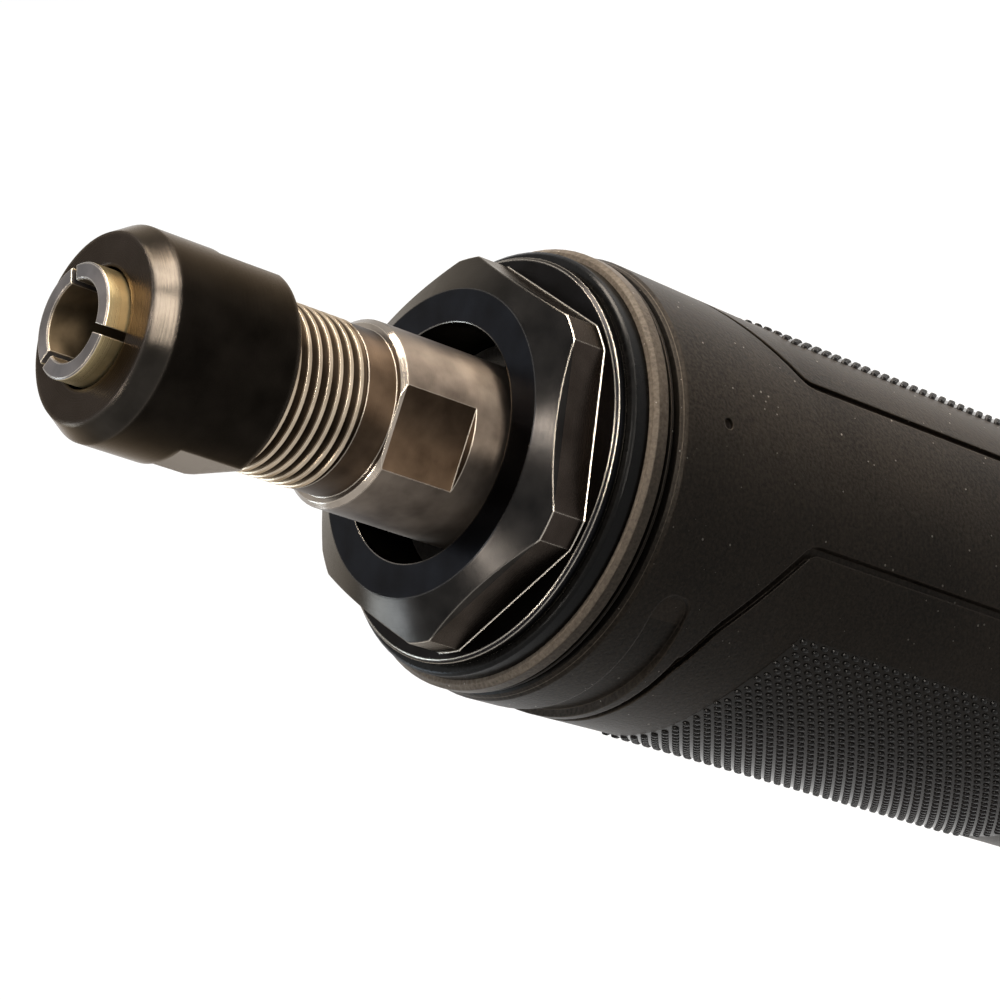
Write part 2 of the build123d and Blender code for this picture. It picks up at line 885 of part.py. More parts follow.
# Fan on the motor shaft, with straight radial blades on a back plate.
with BuildPart() as cooling_fan:
    revolve(
        outline(
            (shaft_seat, fan_z),
            (fan_radius, fan_z),
            (fan_radius, fan_z + fan_plate),
            (fan_hub, fan_z + fan_plate),
            (fan_hub_top, fan_z + fan_height),
            (shaft_seat, fan_z + fan_height),
        ),
        axis=Axis.Z,
    )
    with BuildSketch(Plane.XY.offset(fan_z + fan_plate / 2)):
        with PolarLocations(fan_blade_start, fan_blades):
            Rectangle(
                fan_radius - fan_blade_start - edge,
                fan_plate,
                align=(Align.MIN, Align.CENTER),
            )
    extrude(amount=fan_height - fan_plate / 2 - edge)
save(cooling_fan, "cooling_fan")

# Stator: a laminated ring with six teeth, and a coil round each tooth.
yoke_radius = stator_radius - stator_yoke
coil_foot = stator_bore + coil_lift
coil_half = tooth_width / 2 + lay_gap + coil_width
coil_depth = sqrt(yoke_radius**2 - coil_half**2) - lay_gap - coil_foot
with BuildPart() as stator:
    with BuildSketch(Plane.XY.offset(stator_z)):
        Circle(stator_radius)
        Circle(yoke_radius, mode=Mode.SUBTRACT)
        with PolarLocations(stator_bore + tooth_shoe / 2, tooth_count):
            Rectangle(yoke_radius - stator_bore, tooth_width, align=(Align.MIN, Align.CENTER))
        add(sectors(tooth_count, shoe_half_angle, 0, stator_bore, stator_bore + tooth_shoe, 0))
    extrude(amount=stator_length)
save(stator, "stator")
with BuildPart() as stator_coils:
    for number in range(tooth_count):
        turn = 2 * pi * number / tooth_count
        spot = Plane(
            origin=(coil_foot * cos(turn), coil_foot * sin(turn), stator_z),
            x_dir=(-sin(turn), cos(turn), 0),
            z_dir=(cos(turn), sin(turn), 0),
        )
        with BuildSketch(spot):
            with Locations((0, stator_length / 2)):
                RectangleRounded(2 * coil_half, stator_length + 2 * coil_overhang, coil_width)
                Rectangle(
                    tooth_width + 2 * lay_gap,
                    stator_length + 2 * lay_gap,
                    mode=Mode.SUBTRACT,
                )
        extrude(amount=coil_depth)
save(stator_coils, "stator_coils")

# Front shield and rear bracket of the motor, which hold its bearings in the housing's ribs.
motor_seat = motor_bearing[1] + seat_gap
shield_top = shield_bearing_z + motor_bearing[2] + shield_rim
bracket_step = bracket_top - bracket_plate
with BuildPart() as motor_shield:
    revolve(
        outline(
            (motor_bearing[1] - shield_land, shield_z),
            (shield_radius, shield_z),
            (shield_radius, shield_z + shield_plate),
            (shield_hub, shield_z + shield_plate),
            (shield_hub, shield_top),
            (motor_seat, shield_top),
            (motor_seat, shield_bearing_z),
            (motor_bearing[1] - shield_land, shield_bearing_z),
        ),
        axis=Axis.Z,
    )
save(motor_shield, "motor_shield")
with BuildPart() as motor_bracket:
    revolve(
        outline(
            (bracket_bore, bracket_z),
            (bracket_hub, bracket_z),
            (bracket_hub, bracket_step),
            (stator_radius, bracket_step),
            (stator_radius, bracket_top),
            (motor_seat, bracket_top),
            (motor_seat, bracket_bearing_z),
            (bracket_bore, bracket_bearing_z),
        ),
        axis=Axis.Z,
    )
    extrude(
        sectors(
            bracket_windows,
            window_half_angle,
            window_angle,
            window_inner,
            window_outer,
            bracket_step,
        ),
        amount=bracket_plate,
        mode=Mode.SUBTRACT,
    )
save(motor_bracket, "motor_bracket")

# Neck screws: four cap screws that hold the neck's flange to the housing.
screw_reach = front_wall + neck_screw_bite
with BuildPart() as neck_screws:
    with Locations((0, 0, flange_z + lay_gap)):
        with PolarLocations(neck_bolt_circle, neck_bolts, start_angle=neck_bolt_angle):
            Cylinder(
                screw_radius,
                neck_flange + screw_reach,
                align=(Align.CENTER, Align.CENTER, Align.MAX),
            )
            Cylinder(
                screw_head,
                screw_head_height,
                align=(Align.CENTER, Align.CENTER, Align.MIN),
            )
    with BuildSketch(Plane.XY.offset(flange_z + lay_gap + screw_head_height)):
        with PolarLocations(neck_bolt_circle, neck_bolts, start_angle=neck_bolt_angle):
            RegularPolygon(screw_socket, 6)
    extrude(amount=-screw_socket_depth, mode=Mode.SUBTRACT)
save(neck_screws, "neck_screws")

# Places in the housing that several pieces share
flare_z = foot_z + foot_rise
barrel_z = flare_z + flare_rise
flare_spread = flare_radius - barrel_radius
flare_centre = barrel_radius + (flare_spread**2 + flare_rise**2) / (2 * flare_spread)
roof_z = rail_top + slide_gap
rod_low = stator_radius + rod_clear
rod_high = rod_low + rod_thickness
rod_end = bracket_z - rod_overhang
stem_z = shield_z - stem_clear - switch_travel - stem_length
knob_z = stem_z - stem_inset
dial_z = foot_z + dial_rise
front_screw_z = shield_z + shield_plate + front_screw_rise
screw_spots = (
    (front_screw_x, front_screw_z, front_screw_seat),
    (-front_screw_x, front_screw_z, front_screw_seat),
    (middle_screw_x, bracket_z - middle_screw_drop, middle_screw_seat),
    (-foot_screw_x, floor_z + foot_screw_belly_rise, foot_screw_seat),
    (foot_screw_x, floor_z + foot_screw_top_rise, foot_screw_seat),
)
screw_places = [(x, z) for x, z, seat in screw_spots]
post_places = [(x, dial_z + rise) for x, rise in board_posts]
far = 2 * max(foot_top, foot_belly, foot_half)  # beyond the housing's outside


def bell_radius(height):
    """Radius of the barrel and of the flare below it, at a height within the flare."""
    return flare_centre - sqrt((flare_centre - barrel_radius) ** 2 - (barrel_z - height) ** 2)


def housing_form(inset):
    """The outside of the housing, drawn in all round: a flared barrel trimmed by the foot's sides."""
    barrel = barrel_radius - inset
    flare = flare_radius - inset
    with BuildPart() as form:
        with BuildSketch(Plane.XZ):
            with BuildLine():
                Polyline(
                    (flare, flare_z),
                    (flare, foot_z),
                    (0, foot_z),
                    (0, nose_z),
                    (barrel - nose_edge, nose_z),
                    (barrel, nose_z - nose_edge),
                    (barrel, barrel_z),
                )
                TangentArc((barrel, barrel_z), (flare, flare_z), tangent=(0, -1))
            make_face()
        revolve(axis=Axis.Z)
        with BuildSketch(Plane.XY.offset(foot_z)):
            with Locations(((foot_top - foot_belly) / 2, 0)):
                RectangleRounded(
                    foot_top + foot_belly - 2 * inset,
                    2 * (foot_half - inset),
                    foot_corner - inset,
                )
        extrude(amount=housing_length, mode=Mode.INTERSECT)
    return form.part


outside = housing_form(0)
grip_outside = housing_form(-grip_proud)
grip_inside = housing_form(grip_depth)
grip_floor = housing_form(grip_depth + lay_gap)
grip_middle = (grip_x, barrel_z - grip_drop)

# Cavity of the housing, between its floor and its front wall
with BuildPart() as cavity:
    add(housing_form(housing_wall))
    split(bisect_by=Plane.XY.offset(floor_z), keep=Keep.TOP)
    split(bisect_by=Plane.XY.offset(wall_z), keep=Keep.BOTTOM)

# Ribs, bosses and posts inside the housing
with BuildPart() as inner_ribs:
    for low in (stator_z + rib_inset, stator_top - rib_inset - rib_width):
        revolve(tube(stator_radius + lay_gap, far, low, low + rib_width), axis=Axis.Z)
    for low in (bracket_step - lay_gap - rib_width, bracket_top + lay_gap):
        revolve(tube(stator_radius - rib_overlap, far, low, low + rib_width), axis=Axis.Z)
    for low in (shield_z - lay_gap - rib_width, shield_z + shield_plate + lay_gap):
        revolve(tube(shield_radius - rib_overlap, far, low, low + rib_width), axis=Axis.Z)
    with Locations((rod_low + far / 2 - slide_gap, 0, (rod_end + shield_z) / 2)):
        Box(far, 2 * (rod_half + slide_gap), shield_z - rod_end, mode=Mode.SUBTRACT)
    with BuildSketch(Plane.XZ):
        with Locations(*screw_places):
            Circle(boss_radius)
    extrude(amount=far, both=True)
    with BuildSketch(Plane.XZ.offset(-switch_board_y - board_thickness - lay_gap)):
        with Locations(*post_places):
            Circle(board_post)
    extrude(amount=-far)
    with BuildSketch(Plane.XY.offset(wall_z)):
        with PolarLocations(neck_bolt_circle, neck_bolts, start_angle=neck_bolt_angle):
            Circle(boss_radius)
    extrude(amount=-neck_screw_bite - boss_floor)
    add(outside, mode=Mode.INTERSECT)

# Beds for the two soft grips
with BuildPart() as grip_beds:
    add(grip_outside)
    add(grip_floor, mode=Mode.SUBTRACT)
    with BuildSketch(Plane.XZ):
        with Locations(grip_middle):
            RectangleRounded(
                grip_width + 2 * lay_gap,
                grip_height + 2 * lay_gap,
                grip_corner + lay_gap,
            )
    extrude(amount=far, both=True, mode=Mode.INTERSECT)

# Housing as one moulding, cut into its two halves afterwards
dial_x = min(foot_top, bell_radius(dial_z)) + dial_proud - dial_radius
block_half = blade_pitch * (blade_count - 1) / 2 + block_side
block_length = blade_length + 2 * block_end
outlet_z = fan_z + fan_height / 2
outlet_planes = []
for side in (90, 270):
    for step in range(vent_count):
        turn = radians(side + vent_step * (step - (vent_count - 1) / 2))
        outlet_planes.append(
            Plane(
                origin=(barrel_radius * cos(turn), barrel_radius * sin(turn), outlet_z),
                x_dir=(0, 0, 1),
                z_dir=(cos(turn), sin(turn), 0),
            )
        )
with BuildPart() as housing:
    add(outside)
    add(cavity.part, mode=Mode.SUBTRACT)
    add(inner_ribs.part)
    add(grip_beds.part, mode=Mode.SUBTRACT)
    # Rail channel for the battery, open towards the belly
    with BuildSketch(Plane.YZ.offset(channel_end)):
        with Locations((0, roof_z)):
            Rectangle(
                2 * (rail_flange_half + slide_gap),
                roof_z - rail_step + slide_gap,
                align=(Align.CENTER, Align.MAX),
            )
            Rectangle(
                2 * (rail_web_half + slide_gap),
                2 * (roof_z - foot_z),
                align=(Align.CENTER, Align.MAX),
            )
    extrude(amount=-channel_end - far, mode=Mode.SUBTRACT)
    # Window for the terminals
    with Locations((blade_x, 0, floor_z)):
        Box(
            block_length + 2 * lay_gap,
            2 * (block_half + lay_gap),
            2 * floor_depth,
            mode=Mode.SUBTRACT,
        )
    # Air outlets round the fan and inlets behind the motor
    with BuildSketch(*outlet_planes):
        SlotOverall(vent_length, vent_width)
    extrude(amount=vent_depth, both=True, mode=Mode.SUBTRACT)
    with BuildSketch(Plane.XZ):
        with Locations((0, flare_z + inlet_rise)):
            with GridLocations(inlet_pitch, 1, inlet_count, 1):
                SlotOverall(vent_length, vent_width, rotation=90)
    extrude(amount=far, both=True, mode=Mode.SUBTRACT)
    # Slot for the switch and room for the speed dial
    with Locations((barrel_radius, 0, stem_z + (stem_length + switch_travel) / 2)):
        Box(
            housing_wall * 4,
            2 * (stem_half + slide_gap),
            stem_length + switch_travel + 2 * slide_gap,
            mode=Mode.SUBTRACT,
        )
    with Locations((dial_x, 0, dial_z)):
        Cylinder(
            dial_radius + slide_gap,
            dial_width + 2 * slide_gap,
            rotation=(90, 0, 0),
            mode=Mode.SUBTRACT,
        )
    # Holes for the screws
    for x, z, seat in screw_spots:
        with BuildSketch(Plane.XZ.offset(seat)):
            with Locations((x, z)):
                Circle(screw_head + lay_gap)
        extrude(amount=far, mode=Mode.SUBTRACT)
        with BuildSketch(Plane.XZ.offset(seat)):
            with Locations((x, z)):
                Circle(screw_radius + seat_gap)
        extrude(amount=-seat - screw_bite - boss_floor, mode=Mode.SUBTRACT)
    with BuildSketch(Plane.XY.offset(nose_z)):
        with PolarLocations(neck_bolt_circle, neck_bolts, start_angle=neck_bolt_angle):
            Circle(screw_radius + seat_gap)
    extrude(amount=-screw_reach - boss_floor / 2, mode=Mode.SUBTRACT)
    with BuildSketch(Plane.XY.offset(nose_z)):
        Circle(coupling_radius + coupling_clear)
    extrude(amount=-front_wall, mode=Mode.SUBTRACT)

with BuildPart() as housing_left:
    add(housing.part)
    split(bisect_by=Plane.XZ.offset(seam / 2), keep=Keep.TOP)
save(housing_left, "housing_left")
with BuildPart() as housing_right:
    add(housing.part)
    split(bisect_by=Plane.XZ.offset(-seam / 2), keep=Keep.BOTTOM)
save(housing_right, "housing_right")

# Housing screws, with their heads sunk in the left half
with BuildPart() as housing_screws:
    for x, z, seat in screw_spots:
        head = seat + lay_gap
        with BuildSketch(Plane.XZ.offset(head)):
            with Locations((x, z)):
                Circle(screw_radius)
        extrude(amount=-head - screw_bite)
        with BuildSketch(Plane.XZ.offset(head)):
            with Locations((x, z)):
                Circle(screw_head)
        extrude(amount=screw_head_height)
        with BuildSketch(Plane.XZ.offset(head + screw_head_height)):
            with Locations((x, z)):
                RegularPolygon(screw_socket, 6)
        extrude(amount=-screw_socket_depth, mode=Mode.SUBTRACT)
save(housing_screws, "housing_screws")


def soft_grip(name, side):
    """A soft grip laid in the bed on one side of the housing: side 1 is left, -1 is right."""
    with BuildPart() as grip:
        add(grip_outside)
        add(grip_inside, mode=Mode.SUBTRACT)
        with BuildSketch(Plane.XZ):
            with Locations(grip_middle):
                RectangleRounded(grip_width, grip_height, grip_corner)
        extrude(amount=side * far, mode=Mode.INTERSECT)
    save(grip, name)


soft_grip("grip_left", 1)
soft_grip("grip_right", -1)

# Slide switch: a ribbed knob on the barrel, with a stem through the slot, pushed forward to start.
knob_low = barrel_radius + slide_gap
knob_top = knob_low + knob_thickness
with BuildPart() as switch_knob:
    with BuildSketch(Plane.XY.offset(knob_z)):
        Circle(knob_top)
        Circle(knob_low, mode=Mode.SUBTRACT)
        with Locations((knob_low, 0)):
            Rectangle(knob_low, 2 * knob_half, mode=Mode.INTERSECT)
    extrude(amount=knob_length)
    for step in range(knob_ribs):
        rise = (step - (knob_ribs - 1) / 2) * knob_rib_pitch
        with Locations((knob_top + knob_rib_height, 0, knob_z + knob_length / 2 + rise)):
            Box(
                knob_thickness / 2 + knob_rib_height,
                knob_rib_length,
                knob_rib_width,
                align=(Align.MAX, Align.CENTER, Align.CENTER),
            )
    fillet(switch_knob.edges().filter_by(Axis.Y), radius=knob_edge)
    with BuildSketch(Plane.XY.offset(stem_z)):
        with Locations((rod_high + lay_gap, 0)):
            Rectangle(
                knob_low + knob_thickness / 2 - rod_high,
                2 * stem_half,
                align=(Align.MIN, Align.CENTER),
            )
    extrude(amount=stem_length)
save(switch_knob, "switch_knob")

# Switch rod: a flat bar along the motor, from the knob's stem to the microswitch.
with BuildPart() as switch_rod:
    with BuildSketch(Plane.YZ.offset(rod_low)):
        with Locations((0, (rod_end + stem_z + stem_length) / 2)):
            RectangleRounded(2 * rod_half, stem_z + stem_length - rod_end, rod_corner)
    extrude(amount=rod_thickness)
save(switch_rod, "switch_rod")

# Switch board with the microswitch and the potentiometer of the speed dial.
board_low = dial_z - switch_board_drop
switch_top = rod_end - slide_gap
pot_face = dial_width / 2 + slide_gap
with BuildPart() as switch_board:
    with BuildSketch(Plane.XZ.offset(-switch_board_y)):
        with Locations((switch_board_x, (board_low + switch_top) / 2)):
            Rectangle(switch_board_width, switch_top - board_low)
    extrude(amount=-board_thickness)
save(switch_board, "switch_board")
with BuildPart() as microswitch:
    with BuildSketch(Plane.XZ.offset(lay_gap - switch_board_y)):
        with Locations((microswitch_x, switch_top)):
            Rectangle(microswitch_width, microswitch_height, align=(Align.CENTER, Align.MAX))
    extrude(amount=switch_board_y - dial_width / 2 - microswitch_gap)
save(microswitch, "microswitch")
with BuildPart() as potentiometer:
    with BuildSketch(Plane.XZ.offset(-pot_face)):
        with Locations((dial_x + pot_shift, dial_z)):
            Rectangle(pot_size, pot_size)
    extrude(amount=pot_face - switch_board_y + lay_gap)
    with BuildSketch(Plane.XZ.offset(-pot_face)):
        with Locations((dial_x, dial_z)):
            Circle(dial_pin)
    extrude(amount=dial_width + slide_gap)
save(potentiometer, "potentiometer")

# Speed dial: a thumb wheel on the potentiometer's pin, knurled on both sides of a plain band.
with BuildPart() as speed_dial:
    with BuildSketch(Plane.XZ.offset(-dial_width / 2)):
        with Locations((dial_x, dial_z)):
            Circle(dial_radius)
            with PolarLocations(dial_radius + knurl_offset, knurl_count):
                Circle(knurl_radius, mode=Mode.SUBTRACT)
            Circle(dial_pin + seat_gap, mode=Mode.SUBTRACT)
    extrude(amount=dial_width)
    with BuildSketch(Plane.XZ.offset(-dial_band / 2)):
        with Locations((dial_x, dial_z)):
            Circle(dial_radius)
            Circle(dial_pin + seat_gap, mode=Mode.SUBTRACT)
    extrude(amount=dial_band)
save(speed_dial, "speed_dial")

# Terminal block in the floor of the housing, with its blades, and the motor's control module.
block_top = module_z - lay_gap
blade_height = floor_depth - blade_seat
with BuildPart() as terminal_block:
    with BuildSketch(Plane.XY.offset(roof_z + lay_gap)):
        with Locations((blade_x, 0)):
            Rectangle(block_length, 2 * block_half)
    extrude(amount=block_top - roof_z - lay_gap)
    with BuildSketch(Plane.XY.offset(floor_z + lay_gap)):
        with Locations((blade_x, 0)):
            Rectangle(block_length + 2 * block_flange_end, 2 * (block_half + block_flange_side))
    extrude(amount=block_top - floor_z - lay_gap)
    with BuildSketch(Plane.XY.offset(roof_z)):
        with Locations((blade_x, 0)):
            with GridLocations(1, blade_pitch, 1, blade_count):
                Rectangle(blade_length + 2 * seat_gap, blade_thickness + 2 * seat_gap)
    extrude(amount=blade_height, mode=Mode.SUBTRACT)
save(terminal_block, "terminal_block")
with BuildPart() as terminal_blades:
    with BuildSketch(Plane.XY.offset(roof_z - blade_reach)):
        with Locations((blade_x, 0)):
            with GridLocations(1, blade_pitch, 1, blade_count):
                Rectangle(blade_length, blade_thickness)
    extrude(amount=blade_reach + blade_height - lay_gap)
save(terminal_blades, "terminal_blades")
with BuildPart() as control_module:
    with BuildSketch(Plane.XY.offset(module_z)):
        with Locations((module_x, 0)):
            RectangleRounded(module_size, module_size, module_corner)
    extrude(amount=module_height)
save(control_module, "control_module")

# Finger grooves down both sides of the battery case
with BuildPart() as finger_grooves:
    for side in (1, -1):
        with BuildSketch(Plane.XZ.offset(side * (battery_width / 2 - finger_depth))):
            with Locations((finger_x, (finger_low + finger_high) / 2)):
                with GridLocations(finger_pitch, 1, finger_count, 1):
                    SlotOverall(finger_high - finger_low, finger_width, rotation=90)
        extrude(amount=side * battery_wall)

# Battery base: the lower half of the case, open at the top.
battery_place = (battery_middle, 0)
inner_length = battery_length - 2 * battery_wall
inner_width = battery_width - 2 * battery_wall
inner_corner = battery_corner - battery_wall
screw_x = inner_length / 2 - battery_boss_inset
screw_y = inner_width / 2 - battery_boss_inset
head_seat = battery_split / 2
with BuildPart() as battery_base:
    with BuildSketch():
        with Locations(battery_place):
            RectangleRounded(battery_length, battery_width, battery_corner)
    extrude(amount=battery_split)
    fillet(battery_base.faces().sort_by(Axis.Z)[0].edges(), radius=battery_edge)
    with BuildSketch(Plane.XY.offset(battery_wall)):
        with Locations(battery_place):
            RectangleRounded(inner_length, inner_width, inner_corner)
    extrude(amount=battery_split, mode=Mode.SUBTRACT)
    with BuildSketch(Plane.XY.offset(battery_wall)):
        with Locations(battery_place):
            with GridLocations(2 * screw_x, 2 * screw_y, 2, 2):
                Circle(battery_boss)
    extrude(amount=battery_split - battery_wall)
    with BuildSketch():
        with Locations(battery_place):
            with GridLocations(2 * screw_x, 2 * screw_y, 2, 2):
                Circle(battery_screw + lay_gap)
    extrude(amount=battery_split, mode=Mode.SUBTRACT)
    with BuildSketch():
        with Locations(battery_place):
            with GridLocations(2 * screw_x, 2 * screw_y, 2, 2):
                Circle(battery_screw_head + lay_gap)
    extrude(amount=head_seat, mode=Mode.SUBTRACT)
    add(finger_grooves.part, mode=Mode.SUBTRACT)
save(battery_base, "battery_base")

# Battery lid: the upper half of the case, with the rail, the terminal slots and the latch pocket.
latch_x = battery_middle - battery_length / 2 + latch_inset + latch_length / 2
pocket_floor = battery_height - latch_depth - latch_travel - slide_gap
pocket_length = latch_length + 2 * slide_gap
pocket_width = latch_width + 2 * slide_gap
slot_end = blade_x - blade_length / 2 - slot_margin
slot_z = battery_height + slot_floor
with BuildPart() as battery_lid:
    with BuildSketch(Plane.XY.offset(split_top)):
        with Locations(battery_place):
            RectangleRounded(battery_length, battery_width, battery_corner)
    extrude(amount=battery_height - split_top)
    fillet(battery_lid.faces().sort_by(Axis.Z)[-1].edges(), radius=lid_edge)
    with BuildSketch(Plane.XY.offset(split_top)):
        with Locations(battery_place):
            RectangleRounded(inner_length, inner_width, inner_corner)
    extrude(amount=lid_roof - split_top, mode=Mode.SUBTRACT)
    with BuildSketch(Plane.YZ.offset(rail_start)):
        with Locations((0, rail_top)):
            Rectangle(
                2 * rail_flange_half,
                rail_flange_height,
                align=(Align.CENTER, Align.MAX),
            )
            Rectangle(
                2 * rail_web_half,
                rail_top - lid_roof,
                align=(Align.CENTER, Align.MAX),
            )
    extrude(amount=rail_end - rail_start)
    with BuildSketch(Plane.XY.offset(slot_z)):
        with GridLocations(1, blade_pitch, 1, blade_count):
            with Locations((slot_end, 0)):
                Rectangle(
                    rail_end - slot_end + lay_gap,
                    2 * slot_half,
                    align=(Align.MIN, Align.CENTER),
                )
    extrude(amount=rail_top - slot_z, mode=Mode.SUBTRACT)
    with BuildSketch(Plane.XY.offset(slot_z)):
        with GridLocations(1, blade_pitch, 1, blade_count):
            with Locations((blade_x, 0)):
                Rectangle(clip_hole_length, clip_hole_width)
    extrude(amount=lid_roof - slot_z, mode=Mode.SUBTRACT)
    with BuildSketch(Plane.XY.offset(pocket_floor - battery_wall)):
        with Locations((latch_x, 0)):
            Rectangle(pocket_length + battery_wall, pocket_width + battery_wall)
    extrude(amount=lid_roof + battery_wall - pocket_floor)
    with BuildSketch(Plane.XY.offset(pocket_floor)):
        with Locations((latch_x, 0)):
            Rectangle(pocket_length, pocket_width)
    extrude(amount=battery_height, mode=Mode.SUBTRACT)
    with BuildSketch(Plane.XY.offset(split_top)):
        with Locations(battery_place):
            with GridLocations(2 * screw_x, 2 * screw_y, 2, 2):
                Circle(battery_boss)
    extrude(amount=lid_roof - split_top)
    with BuildSketch(Plane.XY.offset(split_top)):
        with Locations(battery_place):
            with GridLocations(2 * screw_x, 2 * screw_y, 2, 2):
                Circle(battery_screw + seat_gap)
    extrude(amount=battery_screw_reach + boss_floor, mode=Mode.SUBTRACT)
    add(finger_grooves.part, mode=Mode.SUBTRACT)
save(battery_lid, "battery_lid")

# Release latch on the end of the pack, pressed down to free the battery.
with BuildPart() as release_latch:
    with BuildSketch(Plane.XY.offset(battery_height - latch_depth)):
        with Locations((latch_x, 0)):
            Rectangle(latch_length, latch_width)
    extrude(amount=latch_depth + latch_proud)
    with BuildSketch(Plane.XY.offset(battery_height + latch_proud)):
        with Locations((latch_x, 0)):
            with GridLocations(latch_groove_pitch, 1, latch_groove_count, 1):
                Rectangle(latch_groove_width, latch_groove_length)
    extrude(amount=-latch_groove_depth, mode=Mode.SUBTRACT)
save(release_latch, "release_latch")

# Cells, with the holders that carry them and the strips that join them.
cell_room = inner_length - 2 * (battery_boss_inset + battery_boss)  # between the screw bosses
cell_columns = int(cell_room / cell_pitch)
low_row = battery_wall + cell_lift + cell_radius
column_x = [
    battery_middle + cell_pitch * (step - (cell_columns - 1) / 2) for step in range(cell_columns)
]
cell_spots = [(x, z) for x in column_x for z in (low_row, low_row + cell_pitch)]
board_z = battery_height - board_depth
with BuildPart() as battery_cells:
    with BuildSketch(Plane.XZ):
        with Locations(*cell_spots):
            Circle(cell_radius)
    extrude(amount=cell_length / 2, both=True)
save(battery_cells, "battery_cells")
with BuildPart() as cell_holders:
    for side in (1, -1):
        with BuildSketch(Plane.XZ.offset(side * (cell_length / 2 - holder_inset))):
            with Locations((battery_middle, battery_wall + lay_gap)):
                Rectangle(
                    cell_room - 2 * lay_gap,
                    board_z - battery_wall - 2 * lay_gap,
                    align=(Align.CENTER, Align.MIN),
                )
            with Locations(*cell_spots):
                Circle(cell_radius + seat_gap, mode=Mode.SUBTRACT)
        extrude(amount=-side * holder_width)
save(cell_holders, "cell_holders")
with BuildPart() as cell_strips:
    for side in (1, -1):
        with BuildSketch(Plane.XZ.offset(side * (cell_length / 2 + lay_gap))):
            with Locations(*[(x, low_row + cell_pitch / 2) for x in column_x]):
                RectangleRounded(strip_width, cell_pitch + strip_width, strip_corner)
        extrude(amount=side * strip_thickness)
save(cell_strips, "cell_strips")

# Battery board with the clips that take the blades, and the screws of the case.
board_top = board_z + board_thickness
clip_inner = blade_thickness / 2 + clip_gap
clip_outer = clip_inner + clip_thickness
clip_base = battery_height + clip_lift
clip_start = board_top + lay_gap
with BuildPart() as battery_board:
    with BuildSketch(Plane.XY.offset(board_z)):
        with Locations((battery_board_x, 0)):
            Rectangle(battery_board_length, battery_board_width)
    extrude(amount=board_thickness)
save(battery_board, "battery_board")
with BuildPart() as battery_clips:
    with BuildSketch(Plane.YZ.offset(blade_x - blade_length / 2)):
        with GridLocations(blade_pitch, 1, blade_count, 1):
            with Locations((0, clip_base)):
                Rectangle(
                    2 * clip_outer,
                    rail_top - clip_drop - clip_base,
                    align=(Align.CENTER, Align.MIN),
                )
            with Locations((0, clip_base + clip_thickness)):
                Rectangle(
                    2 * clip_inner,
                    rail_top - clip_base,
                    align=(Align.CENTER, Align.MIN),
                    mode=Mode.SUBTRACT,
                )
    extrude(amount=blade_length)
    with BuildSketch(Plane.XY.offset(clip_start)):
        with Locations((blade_x, 0)):
            with GridLocations(1, blade_pitch, 1, blade_count):
                Rectangle(clip_foot, clip_thickness)
    extrude(amount=clip_base - clip_start + clip_thickness / 2)
save(battery_clips, "battery_clips")
head_top = head_seat - lay_gap
with BuildPart() as battery_screws:
    with BuildSketch(Plane.XY.offset(head_top)):
        with Locations(battery_place):
            with GridLocations(2 * screw_x, 2 * screw_y, 2, 2):
                Circle(battery_screw_head)
    extrude(amount=-battery_head_height)
    with BuildSketch(Plane.XY.offset(head_top)):
        with Locations(battery_place):
            with GridLocations(2 * screw_x, 2 * screw_y, 2, 2):
                Circle(battery_screw)
    extrude(amount=split_top + battery_screw_reach - head_top)
save(battery_screws, "battery_screws")
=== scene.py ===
import bmesh
import bpy
import numpy as np
from mathutils import Matrix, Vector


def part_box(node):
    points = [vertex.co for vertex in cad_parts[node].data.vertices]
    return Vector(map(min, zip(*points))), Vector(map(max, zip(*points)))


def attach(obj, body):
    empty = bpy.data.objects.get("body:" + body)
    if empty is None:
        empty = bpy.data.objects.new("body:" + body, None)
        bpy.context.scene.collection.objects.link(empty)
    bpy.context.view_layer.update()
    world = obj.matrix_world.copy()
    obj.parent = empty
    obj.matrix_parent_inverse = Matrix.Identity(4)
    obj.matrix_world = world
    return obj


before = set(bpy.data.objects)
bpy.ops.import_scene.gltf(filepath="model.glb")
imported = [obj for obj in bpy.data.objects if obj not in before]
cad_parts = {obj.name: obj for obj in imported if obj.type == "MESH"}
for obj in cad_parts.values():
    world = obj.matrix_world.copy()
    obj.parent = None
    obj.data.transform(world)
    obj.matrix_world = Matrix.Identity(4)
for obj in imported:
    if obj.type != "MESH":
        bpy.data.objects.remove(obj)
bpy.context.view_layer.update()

# Collet nut
# Turned from steel bar, milled with two spanner flats and blackened in a hot oxide bath.
# It screws on the spindle's thread and closes the collet on the tool's shank.
mm = 0.001


def extent(name):
    """Lowest and highest corner of a CAD node in millimetres, to a thousandth."""
    return np.round(np.array(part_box(name)) / mm, 3)


def put(tree, kind, feeds=None, **options):
    """Adds a shader node with its options, and links or sets each named input."""
    new = tree.nodes.new(kind)
    for option, value in options.items():
        setattr(new, option, value)
    for socket, value in (feeds or {}).items():
        if isinstance(value, bpy.types.NodeSocket):
            tree.links.new(value, new.inputs[socket])
        else:
            new.inputs[socket].default_value = value
    return new


def feed(tree, sockets, **sources):
    """Links each source into the socket of that name."""
    for label, source in sources.items():
        tree.links.new(source, sockets[label.replace("_", " ")])


def shared_effect(name, inputs, outputs):
    """An empty node group; gives its tree, the sockets that bring values in and those that take them out.

    Inputs and outputs map each socket's label to its kind.
    """
    tree = bpy.data.node_groups.new(name, "ShaderNodeTree")
    for label, kind in inputs.items():
        tree.interface.new_socket(label, in_out="INPUT", socket_type=f"NodeSocket{kind}")
    for label, kind in outputs.items():
        tree.interface.new_socket(label, in_out="OUTPUT", socket_type=f"NodeSocket{kind}")
    return tree, tree.nodes.new("NodeGroupInput").outputs, tree.nodes.new("NodeGroupOutput").inputs


